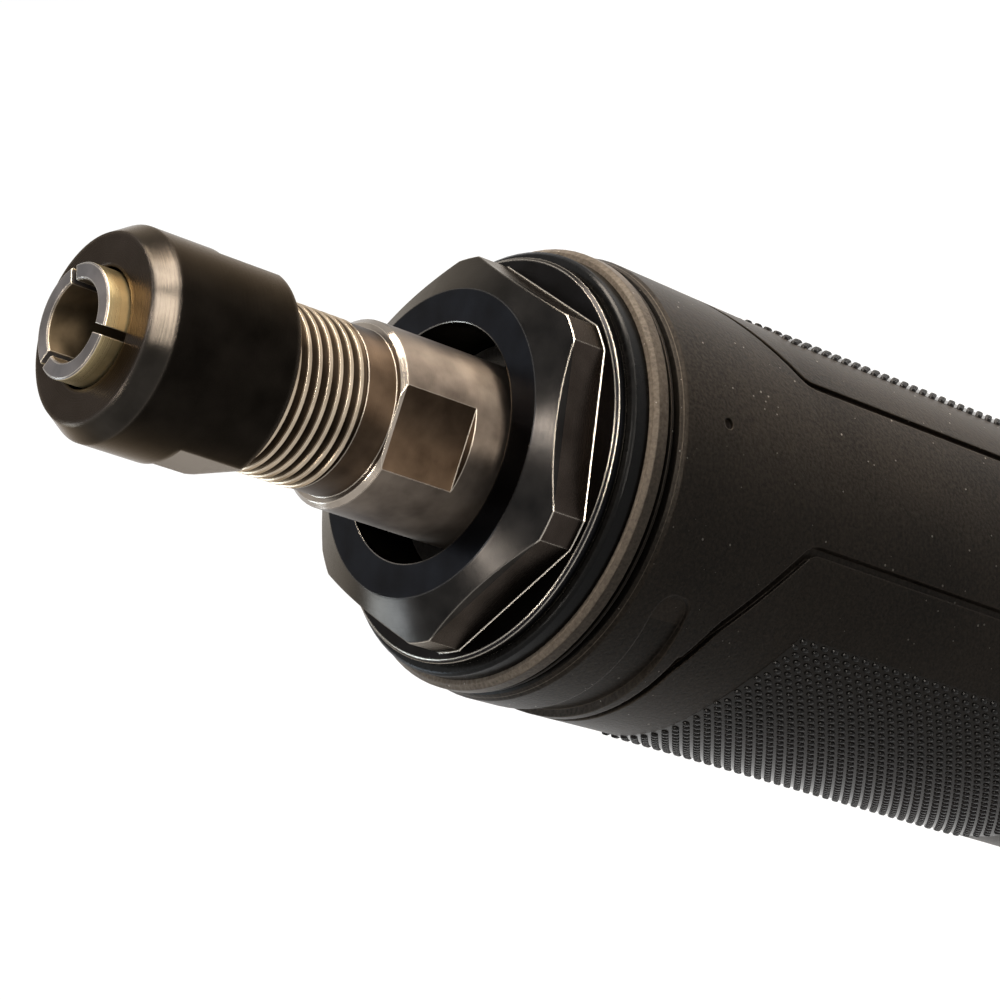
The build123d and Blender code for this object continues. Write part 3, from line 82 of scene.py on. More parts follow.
def effect(tree, group, **values):
    """Places a shared effect in a material; gives the sockets that it puts out."""
    return put(tree, "ShaderNodeGroup", values, node_tree=group).outputs


def coat(name, **plain):
    """A material with plain values on its shader; gives itself, its tree, its shader and the position."""
    made = bpy.data.materials.new(name)
    made.use_nodes = True
    tree = made.node_tree
    shader = tree.nodes["Principled BSDF"]
    for label, value in plain.items():
        shader.inputs[label.replace("_", " ")].default_value = value
    return made, tree, shader, put(tree, "ShaderNodeTexCoord").outputs["Object"]


def cover(finish, *names):
    """Puts a material on CAD nodes."""
    for name in names:
        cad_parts[name].material_slots[0].material = finish


def reckon(tree, operation, first, second):
    """The sum, the product, the larger or a comparison of two values."""
    return put(tree, "ShaderNodeMath", {0: first, 1: second}, operation=operation).outputs[0]


def rise(tree, value, begin, full):
    """0 where the value begins, 1 where it is full, and even between."""
    feeds = {"Value": value, "From Min": begin, "From Max": full}
    return put(tree, "ShaderNodeMapRange", feeds).outputs["Result"]


def spread_between(tree, value, low, high):
    """Low where the value is 0, high where it is 1, and even between."""
    feeds = {"Value": value, "To Min": low, "To Max": high}
    return put(tree, "ShaderNodeMapRange", feeds).outputs["Result"]


def between(tree, share, low, high):
    """Mixes two values by a share."""
    return put(tree, "ShaderNodeMix", {0: share, 2: low, 3: high}).outputs[0]


def blend(tree, share, low, high):
    """Mixes two colours, plain or from sockets, by a share."""
    low, high = ((*colour, 1.0) if isinstance(colour, tuple) else colour for colour in (low, high))
    return put(tree, "ShaderNodeMix", {0: share, 6: low, 7: high}, data_type="RGBA").outputs[2]


def noise(tree, position, scale, detail, roughness=0.5):
    """Cloudy noise about 0.5, with so many clouds per metre."""
    feeds = {"Vector": position, "Scale": scale, "Detail": detail, "Roughness": roughness}
    return put(tree, "ShaderNodeTexNoise", feeds).outputs["Fac"]


def dented(tree, height, depth, strength, normal=None):
    """The normal of a surface that the height, from 0 to 1, lifts by a depth in millimetres."""
    feeds = {"Height": height, "Distance": depth * mm, "Strength": strength}
    if normal is not None:
        feeds["Normal"] = normal
    return put(tree, "ShaderNodeBump", feeds).outputs["Normal"]


def from_axis(tree, position):
    """The distance of a position from the spindle axis, and its height."""
    place = put(tree, "ShaderNodeSeparateXYZ", {0: position}).outputs
    level = put(tree, "ShaderNodeCombineXYZ", {"X": place["X"], "Y": place["Y"]}).outputs[0]
    return put(tree, "ShaderNodeVectorMath", {0: level}, operation="LENGTH").outputs["Value"], place["Z"]


# Edges: the shading rounds them by a small radius, and the mask rises where that turns the surface.
turn_begins, turn_full = 0.995, 0.88  # as cosines
edges, edges_in, edges_out = shared_effect(
    "rounded_edges", {"Radius": "Float"}, {"Mask": "Float", "Normal": "Vector"}
)
rounding = put(edges, "ShaderNodeBevel", {"Radius": edges_in["Radius"]}, samples=6).outputs["Normal"]
own_side = put(edges, "ShaderNodeNewGeometry").outputs["Normal"]
cosine = put(edges, "ShaderNodeVectorMath", {0: rounding, 1: own_side}, operation="DOT_PRODUCT")
turned = rise(edges, cosine.outputs["Value"], turn_begins, turn_full)
feed(edges, edges_out, Mask=turned, Normal=rounding)

# Turning marks: noise that depends only on the radius and the height, so it runs round the axis in rings.
# The patches are the cloudy stains of a hardened or blackened skin.
patch_scale, patch_begins, patch_full = 260.0, 0.3, 0.7
marks, marks_in, marks_out = shared_effect(
    "turning_marks", {"Position": "Vector", "Fineness": "Float"}, {"Lines": "Float", "Patches": "Float"}
)
radius, height = from_axis(marks, marks_in["Position"])
section = put(marks, "ShaderNodeCombineXYZ", {"X": radius, "Y": height}).outputs[0]
lines = noise(marks, section, marks_in["Fineness"], detail=3.0, roughness=0.7)
stains = noise(marks, marks_in["Position"], patch_scale, detail=4.0)
feed(marks, marks_out, Lines=lines, Patches=rise(marks, stains, patch_begins, patch_full))

# Zone: 1 on what lies between two radii and two heights, in millimetres.
zone, zone_in, zone_out = shared_effect(
    "turned_zone",
    {"Position": "Vector", "Inner": "Float", "Outer": "Float", "Low": "Float", "High": "Float"},
    {"Mask": "Float"},
)
place = put(zone, "ShaderNodeVectorMath", {0: zone_in["Position"], "Scale": 1 / mm}, operation="SCALE")
radius, height = from_axis(zone, place.outputs[0])
limits = (
    (radius, "GREATER_THAN", "Inner"),
    (radius, "LESS_THAN", "Outer"),
    (height, "GREATER_THAN", "Low"),
    (height, "LESS_THAN", "High"),
)
inside = 1.0
for measure, side, limit in limits:
    inside = reckon(zone, "MULTIPLY", reckon(zone, side, measure, zone_in[limit]), inside)
feed(zone, zone_out, Mask=inside)


def zone_mask(tree, position, stretch):
    """1 on a stretch of a turned piece, given by its inner and outer radius and its low and high end."""
    limits = {label.title(): stretch[label] for label in ("inner", "outer", "low", "high")}
    return effect(tree, zone, Position=position, **limits)["Mask"]


groove_depth, groove_strength = 0.03, 0.35


def turned_steel(
    name, dark, pale, bright, gloss, fineness, edge_radius, wear,
    zones=(), brushed=0.0, edge_tint=(1.0, 1.0, 1.0),
):
    """Turned steel: rings of noise vary its tone and gloss, and its edges are worn bright.

    A zone is a stretch with tones, gloss and wear of its own. Brushed steel spreads reflections across its
    grooves, along a line that leans from the axis outwards.
    """
    made, tree, shader, position = coat(
        name, Metallic=1.0, Anisotropic=brushed, Specular_Tint=(*edge_tint, 1.0)
    )
    rings = effect(tree, marks, Position=position, Fineness=fineness)
    rim = effect(tree, edges, Radius=edge_radius * mm)
    tone = blend(tree, rings["Patches"], dark, pale)
    sheen = spread_between(tree, rings["Lines"], *gloss)
    for stretch in zones:
        mask = zone_mask(tree, position, stretch)
        zone_tone = blend(tree, rings["Patches"], stretch["dark"], stretch["pale"])
        zone_sheen = spread_between(tree, rings["Lines"], *stretch["gloss"])
        tone = blend(tree, mask, tone, zone_tone)
        sheen = between(tree, mask, sheen, zone_sheen)
        wear = between(tree, mask, wear, stretch["wear"])
    worn = reckon(tree, "MULTIPLY", rim["Mask"], wear)
    feed(
        tree,
        shader.inputs,
        Base_Color=blend(tree, worn, tone, bright),
        Roughness=sheen,
        Normal=dented(tree, rings["Lines"], groove_depth, groove_strength, rim["Normal"]),
    )
    if brushed:
        level = put(tree, "ShaderNodeVectorMath", {0: position, 1: (1.0, 1.0, 0.0)}, operation="MULTIPLY")
        outward = put(tree, "ShaderNodeVectorMath", {0: level.outputs[0]}, operation="NORMALIZE")
        lean = put(tree, "ShaderNodeVectorMath", {0: outward.outputs[0], 1: (0.0, 0.0, -1.0)})
        across = put(
            tree,
            "ShaderNodeVectorTransform",
            {0: lean.outputs[0]},
            convert_from="OBJECT",
            convert_to="WORLD",
        )
        feed(tree, shader.inputs, Tangent=across.outputs[0])
    return made


nut_front = extent("collet_nut")[1][2]
nut_bevel = dict(
    inner=9.3, outer=10.7, low=nut_front - 2.16, high=nut_front - 0.06,
    dark=(0.016, 0.0138, 0.0115), pale=(0.032, 0.0278, 0.0235), gloss=(0.14, 0.24), wear=0.1,
)
nut_face = dict(
    inner=5.0, outer=9.33, low=nut_front - 0.06, high=nut_front + 0.34,
    dark=(0.012, 0.0100, 0.0096), pale=(0.022, 0.0182, 0.0170), gloss=(0.2, 0.34), wear=0.1,
)
nut_steel = turned_steel(
    "nut_steel",
    dark=(0.004, 0.0032, 0.0025),
    pale=(0.009, 0.0072, 0.0056),
    bright=(0.42, 0.36, 0.30),
    gloss=(0.18, 0.3),
    fineness=9000,
    edge_radius=0.7,
    wear=0.25,
    zones=(nut_bevel, nut_face),
    brushed=0.4,
    edge_tint=(0.8, 0.72, 0.64),
)
cover(nut_steel, "collet_nut")

# Bearing cap
# A hexagon with a round flange, turned and milled from steel bar and blackened like the nut.
# It screws into the neck and holds the front bearing; its edges are rubbed bright, and that bright colour is
# also a painted highlight on their rounding.
cap_front = extent("bearing_cap")[1][2]
cap_cone = dict(
    inner=15.85, outer=20.5, low=cap_front - 2.0, high=cap_front - 0.05,
    dark=(0.010, 0.0095, 0.0092), pale=(0.024, 0.022, 0.0205), gloss=(0.16, 0.26), wear=0.25,
)
# The face's bluish tone is a painted reflection of a blue window.
cap_face_reflection = dict(
    inner=12.0, outer=15.95, low=cap_front - 0.1, high=cap_front + 0.1,
    dark=(0.005, 0.0062, 0.0088), pale=(0.010, 0.0122, 0.0168), gloss=(0.14, 0.3), wear=0.35,
)
# The flats' paler brown tone is a painted reflection of brown surroundings.
cap_flats_reflection = dict(
    inner=17.5, outer=20.7, low=cap_front - 6.0, high=cap_front - 2.05,
    dark=(0.021, 0.0165, 0.0137), pale=(0.039, 0.0312, 0.0264), gloss=(0.2, 0.34), wear=0.95,
)
cap_steel = turned_steel(
    "cap_steel",
    dark=(0.0042, 0.0042, 0.0048),
    pale=(0.010, 0.0100, 0.0112),
    bright=(0.66, 0.60, 0.52),
    gloss=(0.16, 0.32),
    fineness=7000,
    edge_radius=0.25,
    # Strong edge wear: rubbed steel, and also a painted highlight on the rounded edges.
    wear=0.95,
    zones=(cap_flats_reflection, cap_cone, cap_face_reflection),
    brushed=0.3,
    edge_tint=(0.8, 0.75, 0.69),
)
cover(cap_steel, "bearing_cap")

# Collet
# A slit cone of spring steel, hardened and ground, that the nut presses on the tool's shank.
# Its mouth stands out of the nut, with a grey face and a bright ground lip.
collet_front = extent("collet")[1][2]
collet_lip = dict(
    inner=5.5, outer=5.75, low=collet_front - 3.0, high=collet_front - 0.13,
    dark=(0.34, 0.26, 0.13), pale=(0.58, 0.46, 0.25), gloss=(0.22, 0.36), wear=0.85,
)
collet_bore = dict(
    inner=3.5, outer=4.12, low=collet_front - 20.0, high=collet_front - 0.1,
    dark=(0.075, 0.055, 0.033), pale=(0.19, 0.142, 0.087), gloss=(0.34, 0.52), wear=0.6,
)
collet_steel = turned_steel(
    "collet_steel",
    dark=(0.07, 0.062, 0.060),
    pale=(0.15, 0.135, 0.13),
    bright=(0.64, 0.57, 0.47),
    gloss=(0.3, 0.5),
    fineness=12000,
    edge_radius=0.18,
    wear=0.85,
    zones=(collet_lip, collet_bore),
    brushed=0.6,
)
cover(collet_steel, "collet")

# Spindle with its thread
# Turned from one bar and hardened, which leaves a brown skin; the stretch behind the shoulder is ground.
# Two milled flats take a spanner, and a fine thread takes the nut: right-handed, 1.25 mm pitch.
thread_length, relief_length, relief_radius = 19.68, 3.44, 8.5
spindle_front = extent("spindle")[1][2]
relief_front = spindle_front - thread_length
shoulder = relief_front - relief_length
spindle_ground = dict(
    inner=9.57, outer=9.7, low=cap_front - 17.3, high=shoulder - 0.46,
    dark=(0.066, 0.052, 0.042), pale=(0.155, 0.127, 0.103), gloss=(0.34, 0.48), wear=0.6,
)
spindle_shoulder = dict(
    inner=8.52, outer=9.7, low=shoulder - 0.46, high=shoulder + 0.14,
    dark=(0.22, 0.185, 0.15), pale=(0.36, 0.31, 0.26), gloss=(0.12, 0.24), wear=0.6,
)
spindle_steel = turned_steel(
    "spindle_steel",
    dark=(0.030, 0.0195, 0.0122),
    pale=(0.070, 0.0475, 0.0308),
    bright=(0.66, 0.59, 0.50),
    gloss=(0.34, 0.52),
    fineness=8000,
    edge_radius=0.2,
    wear=0.6,
    zones=(spindle_ground, spindle_shoulder),
    brushed=0.95,
)
cover(spindle_steel, "spindle")
thread_crests = dict(
    inner=8.45, outer=8.8, low=relief_front, high=collet_front,
    dark=(0.28, 0.225, 0.165), pale=(0.52, 0.43, 0.325), gloss=(0.22, 0.36), wear=0.9,
)
thread_steel = turned_steel(
    "thread_steel",
    dark=(0.050, 0.037, 0.026),
    pale=(0.120, 0.090, 0.064),
    bright=(0.72, 0.63, 0.52),
    gloss=(0.28, 0.45),
    fineness=8000,
    edge_radius=0.06,
    wear=0.5,
    zones=(thread_crests,),
    brushed=0.5,
    edge_tint=(0.62, 0.52, 0.42),
)


def piece(name, points, faces, finish, body, smooth_below):
    """A mesh piece on a body, from points in millimetres, shaded smooth over edges below an angle."""
    mesh = bpy.data.meshes.new(name)
    mesh.from_pydata((np.asarray(points) * mm).tolist(), [], [list(face) for face in faces])
    mesh.validate()
    shell = bmesh.new()
    shell.from_mesh(mesh)
    bmesh.ops.recalc_face_normals(shell, faces=shell.faces)
    shell.to_mesh(mesh)
    shell.free()
    mesh.polygons.foreach_set("use_smooth", np.ones(len(mesh.polygons), bool))
    mesh.set_sharp_from_angle(angle=np.radians(smooth_below))
    mesh.materials.append(finish)
    made = bpy.data.objects.new(name, mesh)
    bpy.context.scene.collection.objects.link(made)
    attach(made, body)


def grid_faces(rows, columns, rows_close=False, columns_close=False):
    """The quads of a grid of points, row by row; a closed direction joins its last line to its first."""
    row, column = np.meshgrid(
        np.arange(rows - (not rows_close)), np.arange(columns - (not columns_close)), indexing="ij"
    )
    after, beside = (row + 1) % rows * columns, (column + 1) % columns
    row = row * columns
    return np.stack((row + column, row + beside, after + beside, after + column), -1).reshape(-1, 4)


def swept_faces(corners, steps):
    """The faces of a section of corner points carried along a path of steps: its walls and its two ends."""
    first_end = np.arange(corners) * steps
    walls = grid_faces(corners, steps, rows_close=True)
    return walls.tolist() + [first_end.tolist(), (first_end + steps - 1).tolist()]


# The ridge is a section carried along a helix that climbs one pitch in each turn.
# It starts unseen in the relief ring, so that it comes out of that ring's face, and runs out at both ends.
thread_low, thread_high, thread_pitch = relief_front - 1.5, spindle_front - 0.48, 1.25
thread_root, thread_crest, thread_bury = 7.93, 8.6, 0.23
crest_height, crest_angle = relief_front + 3.4, np.radians(271.8)
hidden_radius = relief_radius - 0.05
steps_per_turn, run_out, thinnest = 90, 0.12, 0.02
turns = (thread_high - thread_low) / thread_pitch
along = np.linspace(0, turns, int(turns * steps_per_turn))
fullness = np.clip(np.minimum(along, turns - along) / run_out, thinnest, 1)
turn = crest_angle + 2 * np.pi * ((thread_low - crest_height) / thread_pitch + along)
middle = thread_low + thread_pitch * along
# Each corner of the section: share of the way from root to crest, share of the bury, height from the middle
ridge = np.array(((0, 1, -0.56), (0, 0, -0.53), (1, 0, -0.19), (1, 0, 0.19), (0, 0, 0.53), (0, 1, 0.56)))
climb, under, offset = ridge.T[:, :, None]
radius = thread_root + climb * (thread_crest - thread_root) * fullness - under * thread_bury
height = middle + offset
radius = np.where(height < relief_front, np.minimum(radius, hidden_radius), radius)
thread_points = np.stack((radius * np.cos(turn), radius * np.sin(turn), height), -1).reshape(-1, 3)
thread_faces = swept_faces(len(ridge), len(along))
piece(
    "spindle_thread", thread_points, thread_faces, thread_steel, "spindle", smooth_below=25.0
)

# Dust seal
# A ring of pressed felt, laid in the cap's bore just clear of the spindle.
# It keeps grinding dust out of the front bearing.
felt_dark, felt_pale = (0.02, 0.019, 0.018), (0.06, 0.056, 0.05)
felt, tree, shader, position = coat("felt", Roughness=0.95)
fibre = noise(tree, position, scale=3500.0, detail=6.0)
feed(
    tree,
    shader.inputs,
    Base_Color=blend(tree, fibre, felt_dark, felt_pale),
    Normal=dented(tree, fibre, depth=0.2, strength=0.8),
)
cover(felt, "dust_seal")

# Rubber sleeve
# Soft black rubber moulded over the neck, with a ribbed lip, two textured panels and a finger guard.
# Its skin has the fine grain of an eroded mould, and grinding dust clings to it.
cloud_scale, pit_share, tone_begins, tone_full = 55.0, 0.6, 0.36, 0.64
grain, grain_in, grain_out = shared_effect(
    "moulded_grain", {"Position": "Vector", "Fineness": "Float"}, {"Height": "Float", "Tone": "Float"}
)
pits = noise(grain, grain_in["Position"], grain_in["Fineness"], detail=3.0, roughness=0.6)
clouds = noise(grain, grain_in["Position"], cloud_scale, detail=5.0)
speckle = between(grain, pit_share, clouds, pits)
feed(grain, grain_out, Height=pits, Tone=rise(grain, speckle, tone_begins, tone_full))

# Dust: in a few of the cells of a cell pattern, a small spot round the cell's middle.
dust, dust_in, dust_out = shared_effect(
    "dust_specks",
    {"Position": "Vector", "Cells": "Float", "Size": "Float", "Bare": "Float"},
    {"Mask": "Float"},
)
cell = put(dust, "ShaderNodeTexVoronoi", {"Vector": dust_in["Position"], "Scale": dust_in["Cells"]}).outputs
lot = put(dust, "ShaderNodeSeparateColor", {0: cell["Color"]}).outputs
speck_size = reckon(dust, "MULTIPLY", lot["Green"], dust_in["Size"])
near = reckon(dust, "LESS_THAN", cell["Distance"], speck_size)
drawn = reckon(dust, "GREATER_THAN", lot["Red"], dust_in["Bare"])
feed(dust, dust_out, Mask=reckon(dust, "MULTIPLY", near, drawn))
dust_cells, dust_size, dust_tone = 900.0, 0.12, (0.45, 0.41, 0.36)
grain_strength, edge_lift = 0.6, 0.4


def moulding(
    name, dark, pale, gloss, fineness, relief, edge_radius,
    specks=0.0, specular=0.3, zones=(), sheen=(1.0, 1.0, 1.0), edge_highlight=None,
):
    """Moulded rubber or plastic: grain in its skin, a cloudy tone, softer edges and, where asked, dust.

    A zone is a stretch with tones of its own, and an edge highlight is a painted highlight: a colour of its
    own on the edges.
    """
    made, tree, shader, position = coat(name, Specular_IOR_Level=specular, Specular_Tint=(*sheen, 1.0))
    skin = effect(tree, grain, Position=position, Fineness=fineness)
    rim = effect(tree, edges, Radius=edge_radius * mm)
    tone = reckon(tree, "ADD", skin["Tone"], reckon(tree, "MULTIPLY", rim["Mask"], edge_lift))
    shade = blend(tree, tone, dark, pale)
    for stretch in zones:
        zone_shade = blend(tree, tone, stretch["dark"], stretch["pale"])
        shade = blend(tree, zone_mask(tree, position, stretch), shade, zone_shade)
    # A paler colour on every edge that the rounding finds, hollow ones too: a painted highlight.
    if edge_highlight:
        shade = blend(tree, rim["Mask"], shade, edge_highlight)
    if specks:
        spots = effect(tree, dust, Position=position, Cells=dust_cells, Size=dust_size, Bare=1.0 - specks)
        shade = blend(tree, spots["Mask"], shade, dust_tone)
    feed(
        tree,
        shader.inputs,
        Base_Color=shade,
        Roughness=spread_between(tree, skin["Height"], *gloss),
        Normal=dented(tree, skin["Height"], relief, grain_strength, rim["Normal"]),
    )
    return made


(_, _, sleeve_rear), (_, _, sleeve_front) = extent("rubber_sleeve")
# The lip is paler all round: partly scuffed rubber, partly a painted sheen where light catches it.
scuffed_sheen_lip = dict(
    inner=22.0, outer=23.1, low=sleeve_front - 1.8, high=sleeve_front + 0.1,
    dark=(0.115, 0.096, 0.078), pale=(0.25, 0.210, 0.170),
)
# The groove behind the lip is near black: painted shade.
lip_groove_shade = dict(
    inner=20.0, outer=22.9, low=sleeve_front - 3.32, high=sleeve_front - 1.7,
    dark=(0.0035, 0.0028, 0.0022), pale=(0.010, 0.0078, 0.0060),
)
# The sleeve's front rim is paler: a painted highlight along it.
rim_highlight = dict(
    inner=22.95, outer=23.4, low=sleeve_front - 3.7, high=sleeve_front - 3.25,
    dark=(0.10, 0.083, 0.066), pale=(0.20, 0.167, 0.133),
)
# The floor of the gate dimple is paler: painted light that lifts the shade of its own rim.
gate_floor_light = dict(
    inner=22.5, outer=22.66, low=sleeve_front - 11.5, high=sleeve_front - 7.5,
    dark=(0.05, 0.040, 0.031), pale=(0.11, 0.088, 0.070),
)
warm_sheen = (1.0, 0.93, 0.84)
sleeve_rubber = moulding(
    "sleeve_rubber",
    dark=(0.0135, 0.0108, 0.0085),
    pale=(0.064, 0.0515, 0.0405),
    gloss=(0.28, 0.46),
    fineness=2600,
    relief=0.08,
    edge_radius=0.25,
    specks=0.6,
    specular=0.06,
    zones=(scuffed_sheen_lip, lip_groove_shade, rim_highlight, gate_floor_light),
    sheen=warm_sheen,
    edge_highlight=(0.10, 0.080, 0.062),
)
# The studs are a darker copy of the sleeve's rubber: painted shade of the textured field.
stud_rubber_shaded = moulding(
    "stud_rubber_shaded",
    dark=(0.005, 0.0038, 0.0028),
    pale=(0.014, 0.0106, 0.0080),
    gloss=(0.2, 0.32),
    fineness=2600,
    relief=0.02,
    edge_radius=0.2,
    specular=0.14,
)
# The skin between the studs is a copy of the sleeve's rubber, paler than the studs: a painted sheen in the
# valleys.
valley_rubber_sheen = moulding(
    "valley_rubber_sheen",
    dark=(0.008, 0.0058, 0.0043),
    pale=(0.030, 0.0226, 0.0170),
    gloss=(0.14, 0.22),
    fineness=2600,
    relief=0.03,
    edge_radius=0.2,
    specular=0.1,
    sheen=warm_sheen,
)
cover(sleeve_rubber, "rubber_sleeve")

stud_sides, stud_sunk = 8, 0.15


def studs(middles, outward, lengthwise, half_length, half_width, lift):
    """Low oval domes: rings of points that shrink as they rise from a sunken foot, and a top point."""
    outward, lengthwise = np.broadcast_arrays(outward, lengthwise)
    across = np.cross(outward, lengthwise)
    corner = np.arange(stud_sides)
    angle = 2 * np.pi * corner / stud_sides
    oval = np.stack((half_length * np.cos(angle), half_width * np.sin(angle)), -1)
    # Each ring: share of the full oval, height over the surface
    rings = ((1.0, -stud_sunk), (0.92, 0.6 * lift), (0.62, 0.93 * lift))
    levels = [np.column_stack((share * oval, np.full(stud_sides, level))) for share, level in rings]
    shape = np.concatenate(levels + [[[0.0, 0.0, lift]]])
    points = (
        middles[:, None]
        + shape[None, :, 0:1] * lengthwise[:, None]
        + shape[None, :, 1:2] * across[:, None]
        + shape[None, :, 2:3] * outward[:, None]
    )
    top = len(shape) - 1
    last_ring = top - stud_sides
    wall = grid_faces(len(rings), stud_sides, columns_close=True)
    crown = np.column_stack(
        (last_ring + corner, last_ring + (corner + 1) % stud_sides, np.full(stud_sides, top))
    )
    foot = corner[None, ::-1]
    first = np.arange(len(middles))[:, None, None] * len(shape)
    faces = [(group[None] + first).reshape(-1, group.shape[1]).tolist() for group in (wall, crown, foot)]
    return points.reshape(-1, 3), sum(faces, [])


# The field of studs on each panel: staggered rows, whose ends slant back towards the panel's corners
sleeve_radius = 22.7
field_front, field_rear = sleeve_front - 14.2, sleeve_rear + 35.0
field_top, field_corner, field_slant = field_front - 8.3, field_front - 12.2, 0.66
field_edge = np.radians(46.6)
stud_row, stud_pitch = 0.78, 1.5
stud_half_length, stud_half_width, stud_lift = 0.5, 0.29, 0.28
upward = np.array((0.0, 0.0, 1.0))


def field_end(turn):
    """The field's front end at an angle round the sleeve: a slant up from its corner, then level."""
    reach = np.maximum(sleeve_radius * (np.sin(turn) - np.sin(field_edge)), 0)
    return np.minimum(field_top, field_corner + field_slant * reach)


row_turn = np.arange(field_edge, np.pi - field_edge, stud_row / sleeve_radius)
row_height = np.arange(field_rear, field_front, stud_pitch)
turn, height = np.meshgrid(row_turn, row_height, indexing="ij")
height = height + (np.arange(len(row_turn)) % 2)[:, None] * stud_pitch / 2
front_end = field_end(turn)
kept = (height < front_end) & (height > field_front + field_rear - front_end)
turn, height = turn[kept], height[kept]
# The skin between the studs: a thin strip of four corner points carried round the sleeve, mostly sunk in it.
skin_overlap, skin_border, skin_proud, skin_sunk, skin_steps = 0.02, 0.3, 0.02, 0.15, 140
skin_turn = np.linspace(field_edge - skin_overlap, np.pi - field_edge + skin_overlap, skin_steps)
skin_front = field_end(skin_turn) + skin_border
skin_rear = field_front + field_rear - skin_front
skin_corners = (
    (skin_proud, skin_rear),
    (skin_proud, skin_front),
    (-skin_sunk, skin_front),
    (-skin_sunk, skin_rear),
)
skin_faces = swept_faces(len(skin_corners), skin_steps)
for side, label in ((1, "top"), (-1, "belly")):
    skin_outward = np.column_stack((side * np.sin(skin_turn), -np.cos(skin_turn), np.zeros(skin_steps)))
    skin_points = np.concatenate(
        [skin_outward * (sleeve_radius + over) + end[:, None] * upward for over, end in skin_corners]
    )
    piece(
        f"sleeve_skin_{label}", skin_points, skin_faces, valley_rubber_sheen, "tool_body",
        smooth_below=40.0,
    )
    outward = np.column_stack((side * np.sin(turn), -np.cos(turn), np.zeros(len(turn))))
    middles = outward * sleeve_radius + height[:, None] * upward
    stud_points, stud_faces = studs(
        middles, outward, upward, stud_half_length, stud_half_width, stud_lift
    )
    piece(
        f"sleeve_studs_{label}", stud_points, stud_faces, stud_rubber_shaded, "tool_body",
        smooth_below=70.0,
    )

# Motor housing
# Two halves of glass-filled nylon with a spark-eroded grain, moulded with ribs and bosses inside.
# Five screws close them from the left.
housing_plastic = moulding(
    "housing_plastic",
    dark=(0.022, 0.022, 0.023),
    pale=(0.045, 0.045, 0.046),
    gloss=(0.42, 0.6),
    fineness=1500,
    relief=0.1,
    edge_radius=0.5,
    specks=0.08,
)
cover(housing_plastic, "housing_left", "housing_right")

# Soft grips
# Rubber inlays laid in the two beds of the housing, with rows of small studs for the palm.
# They follow the barrel, which is straight at the front and flares like a bell towards the battery.
grip_rubber = moulding(
    "grip_rubber",
    dark=(0.012, 0.012, 0.012),
    pale=(0.026, 0.025, 0.025),
    gloss=(0.6, 0.8),
    fineness=2600,
    relief=0.08,
    edge_radius=0.5,
    specks=0.1,
)
cover(grip_rubber, "grip_left", "grip_right")
(grip_belly, _, grip_low), (grip_top, _, grip_high) = extent("grip_left")
grip_corner, grip_margin, grip_proud = 12.0, 4.0, 0.7
barrel_height, bell_centre, bell_radius = 150.4, 142.0, 110.0
grip_stud_step = 2.4
grip_stud_half_length, grip_stud_half_width, grip_stud_lift = 0.75, 0.55, 0.4
column = np.arange(grip_belly + grip_margin, grip_top - grip_margin, grip_stud_step)
row = np.arange(grip_low + grip_margin, grip_high - grip_margin, grip_stud_step / 2)
across, height = np.meshgrid(column, row, indexing="ij")
across = across + (np.arange(len(row)) % 2)[None] * grip_stud_step / 2
# A stud is kept where it lies inside the grip's rounded rectangle by the margin.
mid_x, mid_z = (grip_belly + grip_top) / 2, (grip_low + grip_high) / 2
corner_x = np.maximum(np.abs(across - mid_x) - (grip_top - grip_belly) / 2 + grip_corner, 0)
corner_z = np.maximum(np.abs(height - mid_z) - (grip_high - grip_low) / 2 + grip_corner, 0)
kept = np.hypot(corner_x, corner_z) < grip_corner - grip_margin
across, height = across[kept], height[kept]
# The barrel's radius is an arc about the bell's centre below the straight stretch.
below = np.maximum(barrel_height - height, 0)
bell_drop = np.sqrt(bell_radius**2 - below**2)
bell = bell_centre - bell_drop + grip_proud
lean = below / bell_drop
for side, label in ((-1, "left"), (1, "right")):
    sideways = side * np.sqrt(bell**2 - across**2)
    middles = np.column_stack((across, sideways, height))
    outward = np.column_stack((across / bell, sideways / bell, lean))
    outward /= np.linalg.norm(outward, axis=1, keepdims=True)
    lengthwise = np.cross(outward, np.cross(upward, outward))
    lengthwise /= np.linalg.norm(lengthwise, axis=1, keepdims=True)
    stud_points, stud_faces = studs(
        middles, outward, lengthwise, grip_stud_half_length, grip_stud_half_width, grip_stud_lift
    )
    piece(
        f"grip_studs_{label}", stud_points, stud_faces, grip_rubber, "tool_body",
        smooth_below=70.0,
    )

# Slide switch and release latch
# Dark red nylon, moulded with ribs for the thumb.
# The knob slides on the barrel and starts the motor; the latch is pressed to free the battery.
knob_plastic = moulding(
    "knob_plastic",
    dark=(0.20, 0.016, 0.012),
    pale=(0.30, 0.028, 0.020),
    gloss=(0.38, 0.52),
    fineness=1800,
    relief=0.06,
    edge_radius=0.4,
    specks=0.05,
)
cover(knob_plastic, "switch_knob", "release_latch")

